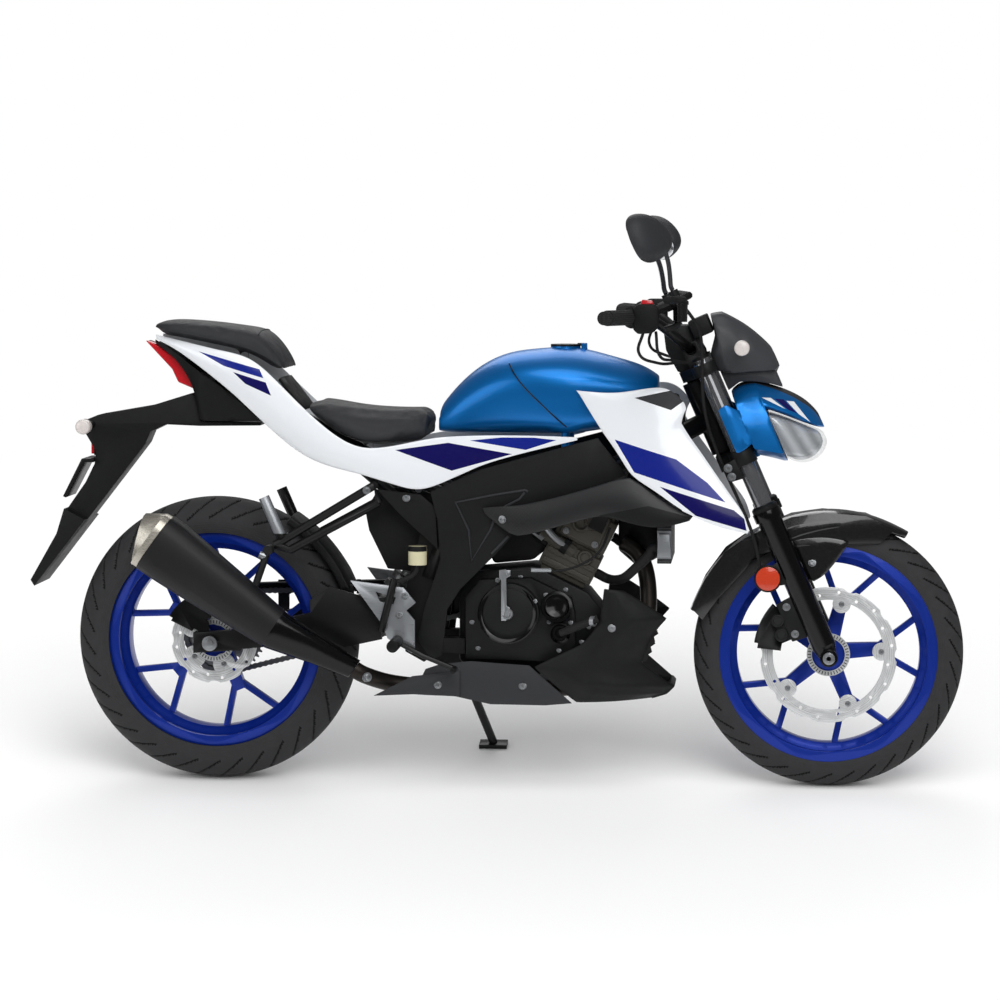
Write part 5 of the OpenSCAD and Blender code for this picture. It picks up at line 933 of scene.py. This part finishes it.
class MOTORCYCLE_OT_chassis(bpy.types.Operator):
    """Frame, swingarm, foot controls and stand"""

    bl_idname = "motorcycle.chassis"
    bl_label = "Chassis"

    def execute(self, context):
        dress_plain(frame=("black_powder_coat", 0), swingarm=("black_powder_coat", 1.5),
                    rear_shock=("oiled_steel", 0.8), rear_axle=("zinc_steel", 0.6),
                    rear_caliper=("black_cast_aluminium", 1.5), peg_plates=("satin_aluminium", 1.2),
                    foot_controls=("black_powder_coat", 0.8), side_stand=("black_powder_coat", 1.0))
        dress("brake_reservoir", ["milky_fluid_bottle", "black_polypropylene"],
              striped(machined("brake_reservoir", 2),
                      (1, (-260, 540), (-160, 540), (-160, 511), (-260, 511))))
        dress("pillion_pegs", ["black_powder_coat", "satin_aluminium"],
              striped(machined("pillion_pegs", 0.8), (1, (-570, 640), (-520, 640), (-488, 545), (-530, 545))))
        screws("plate_screws", "peg_plates", [(-236, 416), (-249, 375)])
        screws("bar_screws", "pillion_pegs frame", [(-320, 638)])
        case = [(-330, 590), (-300, 640), (-241, 640), (-185, 543), (-172, 485), (-190, 456),
                (-282, 466), (-322, 548)]
        assembled("battery_case", "frame", black_polypropylene=[plate(case, -73, -66, 2)])
        line = [(-210, -148, 484), (-214, -150, 466), (-236, -152, 452), (-256, -152, 446)]
        assembled("rear_brake_lines", "frame", moulded_rubber=[pipe(line, 5)])
        return {"FINISHED"}


class MOTORCYCLE_OT_wheels(bpy.types.Operator):
    """Wheels, tyres, brake discs and chain drive"""

    bl_idname = "motorcycle.wheels"
    bl_label = "Wheels"

    def execute(self, context):
        dress_plain(front_wheel=("wheel_blue_lacquer", 2.5), rear_wheel=("wheel_blue_lacquer", 2.5),
                    front_disc=("front_disc_steel", 0.4), rear_disc=("rear_disc_steel", 0.4),
                    rear_sprocket=("oiled_steel", 0.4), chain=("oiled_steel", 0))
        # half the tyre's width, the disc's face, the radius of its screws and the sensor ring's face, in mm
        for end, matrix, half, disc_y, screws_r, sensor_y in (("front", FRONT, 45.0, -58, 112.3, -52),
                                                              ("rear", REAR, 65.0, -68, 56.1, -70.5)):
            tyre = end + "_tyre"
            # the groove faces take the second, darker finish: painted shade
            dress(tyre, [tyre + "_rubber", "dark_groove_rubber"],
                  self.treaded(copy_of(tyre), matrix, half * MM, context.scene.motorcycle_sizes), 30)
            angles = [math.radians(76 + 72 * k) for k in range(5)]
            spots = [facing(screws_r * math.cos(a), disc_y, screws_r * math.sin(a), -1, matrix)
                     for a in angles]
            # toothed ring for the wheel speed sensor
            ring = [(35, 0), (46, 0), (46, 1.6), (35, 1.6), (35, 0)]
            gap = [(-0.9, 37), (-0.9, 44), (0.9, 44), (0.9, 37)]
            turns = [matrix @ Matrix.Rotation(math.radians(9 * k), 4, "Y") for k in range(40)]
            assembled(end + "_wheel_fittings", end + "_wheel",
                      zinc_steel=[screw(spot, 4.6) for spot in spots],
                      black_powder_coat=[plate(gap, sensor_y - 1.9, sensor_y - 1.2, 0, turn)
                                         for turn in turns],
                      **{end + "_disc_steel": [turned(facing(0, sensor_y, 0, -1, matrix), ring, 80)]})
        return {"FINISHED"}

    def treaded(self, bm, matrix, half, s):
        """The tyre spun anew from its section, with its tread grooves pressed into the rubber and darkened as
        painted shade.
        """
        bm.transform(matrix.inverted())
        cut = split_along(bm, (0, 0, 0), (1, 0, 0))
        edges = [e for e in cut if isinstance(e, bmesh.types.BMEdge) and min(v.co.z for v in e.verts) > 0]
        section = [tuple((v.co.y, v.co.z) for v in e.verts) for e in edges]
        bm.free()
        bm = bmesh.new()
        for pair in section:
            bm.edges.new([bm.verts.new((0, y, z)) for y, z in pair])
        bmesh.ops.remove_doubles(bm, verts=bm.verts, dist=1e-5)
        long = [e for e in bm.edges if e.calc_length() > 0.006 and min(v.co.z for v in e.verts) > 0.2]
        bmesh.ops.subdivide_edges(bm, edges=long, cuts=1)
        crown = max(v.co.z for v in bm.verts)
        pitch = 2 * math.pi / s.tread
        centre = {"cent": (0, 0, 0), "axis": (0, 1, 0)}
        bmesh.ops.spin(bm, geom=bm.verts[:] + bm.edges[:], angle=pitch, steps=18, **centre)
        # a groove runs from the crown to a share of the drop, leaning back; its half width is in metres
        first, last, lean, width = 0.02, 0.7, 0.34, 0.0036
        sunk = set()
        for v in bm.verts:
            r = math.hypot(v.co.x, v.co.z)
            reach = (crown - r) / half
            if first < reach < last and abs(v.co.y) > half * 0.2:
                turn = math.atan2(v.co.z, v.co.x) - reach * lean + (pitch / 2 if v.co.y > 0 else 0)
                off = abs((turn / pitch) % 1 - 0.5) * pitch * r
                ends = min(1.0, (reach - first) / 0.05, (last - reach) / 0.1)
                share = ends * max(0.0, 1 - (off / width) ** 2)
                across = Vector((0, math.copysign(reach, v.co.y), 0))
                inward = Vector((v.co.x, 0, v.co.z)) / r * (1 - reach) + across
                v.co -= inward.normalized() * s.groove * share
                if share > 0.3:
                    sunk.add(v)
        # faces sunk into a groove are coloured darker: painted shade
        for f in bm.faces:
            f.material_index = int(sum(v in sunk for v in f.verts) > 1)
        bmesh.ops.spin(bm, geom=bm.verts[:] + bm.edges[:] + bm.faces[:], angle=2 * math.pi - pitch,
                       steps=s.tread - 1, use_duplicate=True, **centre)
        bmesh.ops.remove_doubles(bm, verts=bm.verts, dist=2e-5)
        bmesh.ops.recalc_face_normals(bm, faces=bm.faces)
        bm.transform(matrix)
        return bm


class MOTORCYCLE_OT_steering(bpy.types.Operator):
    """Fork, handlebar, hand controls, mirrors and instrument"""

    bl_idname = "motorcycle.steering"
    bl_label = "Steering"

    def execute(self, context):
        dress_plain(steering_head=("black_cast_aluminium", 2), fork_tubes=("chrome_plate", 0.8),
                    fork_sliders=("gloss_black_enamel", 1.5), front_axle=("zinc_steel", 0.2),
                    front_caliper=("black_cast_aluminium", 1.5), grips=("ribbed_grip_rubber", 1),
                    hand_controls=("black_polypropylene", 1))
        dress_round(handlebar=("black_powder_coat", 60), brake_hose=("moulded_rubber", 60))
        rider = FORK.to_3x3() @ Vector((-1, 0, 0))
        bm = rounded(copy_of("mirrors"), 50)
        for f in bm.faces:
            f.material_index = int(f.normal.dot(rider) > 0.86)
        dress("mirrors", ["grey_polypropylene", "mirror_glass"], bm)
        bm = machined("instrument", 3)
        face = max(bm.faces, key=lambda f: f.calc_area() * max(f.normal.dot(rider), 0))
        bmesh.ops.inset_individual(bm, faces=[face], thickness=5 * MM, depth=0)
        bmesh.ops.inset_individual(bm, faces=[face], thickness=0.5 * MM, depth=-1.5 * MM)
        face.material_index = 1
        dress("instrument", ["black_polypropylene", "display_glass"], bm)
        self.fork()
        self.fender()
        self.switchgear()
        return {"FINISHED"}

    def fork(self):
        """Side reflectors on brackets, clamp ears, dust seals, fork caps, bar risers, caliper fittings."""
        lens = [(0, 6), (24, 6), (26, 5), (26, 0), (0, 0)]
        rim = [(25.5, 0), (29, 0), (29, 4.5), (27.5, 6), (25.5, 6), (25.5, 0)]
        arm = [(-70, 190), (-14, 176), (-14, 230), (-70, 220)]
        spots = [facing(-52, side * 106, 205, side, FORK) for side in SIDES]
        assembled("fork_reflectors", "fork_sliders",
                  orange_acrylic=[turned(spot, lens, 40) for spot in spots],
                  black_powder_coat=[turned(spot, rim, 40) for spot in spots]
                  + pair(arm, 102, 106, 1, matrix=FORK))
        ear = [(-48, 424), (-48, 462), (-14, 466), (-14, 420)]
        seal = [(19.2, -3), (27, -3), (28, 0), (28, 9), (24, 13), (19.2, 14), (19.2, -3)]
        top = [(0, 3), (7, 3), (7, 7), (13, 7), (14, 5), (18.5, 5), (18.5, -3), (0, -3)]
        assembled("fork_fittings", "steering_head",
                  black_cast_aluminium=pair(ear, 96, 112, 2, matrix=FORK)
                  + [turned(at(0, side * 90, z, FORK), profile, 32)
                     for side in SIDES for z, profile in ((338, seal), (686, top))],
                  zinc_steel=[screw(facing(-37, side * 112, z, side, FORK), bolt() * 1.1)
                              for side in SIDES for z in (453, 433)])
        # bar risers and the ignition lock between them
        riser = [(-47, 784), (8, 760), (16, 699), (2, 655), (-57, 679), (-62, 732)]
        lock = [(-52, 668), (-10, 660), (-10, 712), (-44, 716)]
        assembled("bar_risers", "handlebar",
                  black_cast_aluminium=[plate(riser, -42, -18, 3, FORK), plate(riser, 18, 42, 3, FORK),
                                        plate(lock, -16, 16, 4, FORK)])
        # caliper pistons and mounting screws
        piston = [(0, 3), (9, 3), (10.5, 4.5), (13, 4.5), (14.5, 2), (14.5, -2), (0, -2)]
        lug = [(-58, 60), (-58, 146), (-20, 150), (-20, 56)]
        assembled("caliper_fittings", "front_caliper",
                  black_cast_aluminium=[turned(on_side("front_caliper", x, z, -1, FRONT), piston, 28)
                                        for x, z in ((-108, 76), (-100, 46))]
                  + [plate(lug, -97, -89, 2, FORK)],
                  zinc_steel=[screw(facing(x, -97, z, -1, FORK), bolt()) for x, z in ((-40, 133), (-46, 73))])

    def fender(self):
        """Fender sides, drawn in towards both ends."""
        skirt = [(368, 384), (396, 447), (439, 507), (482, 537), (520, 556), (580, 582), (646, 592),
                 (739, 584), (800, 556), (767, 526), (697, 522), (619, 521), (545, 512), (497, 486),
                 (467, 452), (424, 405), (392, 360)]

        def drawn_in(x, y):
            return y * (1 - max(0, x - 680) * 0.0022 - max(0, 480 - x) * 0.0008)

        assembled("fender_sides", "front_fender", black_gloss_abs=pair(skirt, 55, 58, 0.8, bend=drawn_in))
        screws("fender_screws", "front_fender", [(624, 485)])

    def switchgear(self):
        """Switch housings, stop switch, brake fluid bottle and cables."""
        housing = [(252, 985), (262, 976), (292, 978), (304, 990), (304, 1028), (294, 1038),
                   (262, 1038), (252, 1030)]
        rocker = [(266, 1034), (294, 1034), (291, 1045), (270, 1047)]
        bottle = [(0, -22), (14.5, -22), (15.5, 13), (17.5, 13.5), (17.5, 20), (15, 22.5), (0, 22.5)]
        cables = ([(272, -268, 978), (262, -250, 938), (298, -200, 914), (352, -120, 912), (396, -62, 902)],
                  [(298, -262, 980), (304, -236, 932), (332, -176, 918), (380, -96, 906), (404, -58, 892)],
                  [(272, 268, 978), (264, 248, 940), (300, 196, 916), (354, 120, 912), (398, 62, 900)])
        assembled("switchgear", "hand_controls",
                  black_polypropylene=pair(housing, 286, 254, 4)
                  + [pipe([(347, -228, 1002), (335, -228, 990), (316, -230, 984)], 7)],
                  red_switch_abs=[plate(rocker, -281, -263, 1.5)],
                  black_gloss_abs=[turned(at(347, -228, 1022), bottle, 32)],
                  moulded_rubber=[pipe(path, 3.2) for path in cables])


class MOTORCYCLE_OT_stage(bpy.types.Operator):
    """Pale floor, soft studio light and the camera"""

    bl_idname = "motorcycle.stage"
    bl_label = "Stage"

    def execute(self, context):
        scene = context.scene
        scene.view_settings.view_transform = "Standard"
        c, s = scene.motorcycle_colours, scene.motorcycle_sizes
        eye, yaw, pitch = Vector((0.55187, -6.9894, 1.1843)), 0.0854, 0.0818
        ahead = Vector((-math.sin(yaw) * math.cos(pitch), math.cos(yaw) * math.cos(pitch), -math.sin(pitch)))
        right = Vector((math.cos(yaw), math.sin(yaw), 0))
        view = Matrix((right, right.cross(ahead), -ahead)).transposed().to_4x4()
        camera = bpy.data.objects.new("camera", bpy.data.cameras.new("camera"))
        camera.data.lens, camera.data.sensor_width, camera.data.clip_end = s.lens, 36, 1000
        camera.matrix_world = UPRIGHT @ Matrix.Translation(eye) @ view
        scene.collection.objects.link(camera)
        scene.camera = camera

        bm = bmesh.new()
        bmesh.ops.create_grid(bm, x_segments=1, y_segments=1, size=400)
        mesh = bpy.data.meshes.new("floor")
        bm.to_mesh(mesh)
        bm.free()
        # painted studio floor: plain, matt and seamless; the camera sees it nearly white
        tree, shader = start("matt_studio_paint", c.floor, Roughness=0.9, Specular_IOR_Level=0.1)
        mesh.materials.append(bpy.data.materials["matt_studio_paint"])
        seen, gloss = ray_kinds(tree)
        either = add(tree, "Math", {0: seen, 1: gloss}, operation="MAXIMUM")
        dim = add(tree, "Mix", {0: gloss, 2: 1.0, 3: s.surround})
        reach = add(tree, "VectorMath", {0: add(tree, "TexCoord", out="Object")}, "Value", operation="LENGTH")
        far = add(tree, "MapRange", {"Value": reach, "From Min": 1.1, "From Max": 3.2},
                  interpolation_type="SMOOTHSTEP")
        fade = add(tree, "Math", {0: far, 1: either}, operation="MULTIPLY")
        white = add(tree, "Emission", {"Color": (1, 1, 1, 1), "Strength": dim})
        mix = add(tree, "MixShader", {0: fade, 1: shader.outputs[0], 2: white})
        tree.links.new(mix, tree.nodes["Material Output"].inputs["Surface"])
        floor = bpy.data.objects.new("floor", mesh)
        scene.collection.objects.link(floor)

        world = bpy.data.worlds.new("studio")
        world.use_nodes = True
        scene.world = world
        tree = world.node_tree
        back = tree.nodes["Background"]
        back.inputs["Color"].default_value = (1, 1, 1, 1)
        seen, gloss = ray_kinds(tree)
        level = add(tree, "Mix", {0: seen, 2: 0.45, 3: 1.0})
        level = add(tree, "Mix", {0: gloss, 2: level, 3: s.surround})
        tree.links.new(level, back.inputs["Strength"])

        sky = bpy.data.lights.new("overhead", "SUN")
        sky.energy, sky.angle = s.sky, math.radians(50)
        overhead = bpy.data.objects.new("overhead", sky)
        overhead.rotation_euler = (math.radians(24), math.radians(8), 0)
        scene.collection.objects.link(overhead)
        for name, spot, size, share in (("key", (1.6, -3.6, 3.4), 2.6, 1.0),
                                        ("fill", (-3.4, -2.8, 2.2), 2.6, 0.6),
                                        ("rim", (-0.5, 3.6, 3.0), 3.0, 0.9)):
            lamp = bpy.data.lights.new(name, "AREA")
            lamp.energy, lamp.size = s.key * share, size
            obj = bpy.data.objects.new(name, lamp)
            obj.location = spot
            obj.rotation_euler = (Vector((0, 0, 0.6)) - Vector(spot)).to_track_quat("-Z", "Y").to_euler()
            scene.collection.objects.link(obj)
        return {"FINISHED"}


OPERATORS = (MOTORCYCLE_OT_stage, MOTORCYCLE_OT_bodywork, MOTORCYCLE_OT_seats, MOTORCYCLE_OT_lamps,
             MOTORCYCLE_OT_engine, MOTORCYCLE_OT_chassis, MOTORCYCLE_OT_wheels, MOTORCYCLE_OT_steering)


class MOTORCYCLE_PT_panel(bpy.types.Panel):
    """Lists the motorcycle's operators and settings"""

    bl_label = "Motorcycle"
    bl_idname = "MOTORCYCLE_PT_panel"
    bl_space_type = "VIEW_3D"
    bl_region_type = "UI"
    bl_category = "Motorcycle"

    def draw(self, context):
        for group in (context.scene.motorcycle_colours, context.scene.motorcycle_sizes):
            for key in group.__annotations__:
                self.layout.prop(group, key)
        for op in OPERATORS:
            self.layout.operator(op.bl_idname)


CLASSES = (MotorcycleColours, MotorcycleSizes, *OPERATORS, MOTORCYCLE_PT_panel)


def register():
    for cls in CLASSES:
        bpy.utils.register_class(cls)
    bpy.types.Scene.motorcycle_colours = PointerProperty(type=MotorcycleColours)
    bpy.types.Scene.motorcycle_sizes = PointerProperty(type=MotorcycleSizes)


def unregister():
    del bpy.types.Scene.motorcycle_sizes
    del bpy.types.Scene.motorcycle_colours
    for cls in reversed(CLASSES):
        bpy.utils.unregister_class(cls)


def main():
    register()
    for op in OPERATORS:
        group, name = op.bl_idname.split(".")
        getattr(getattr(bpy.ops, group), name)()


if __name__ == "__main__":
    main()
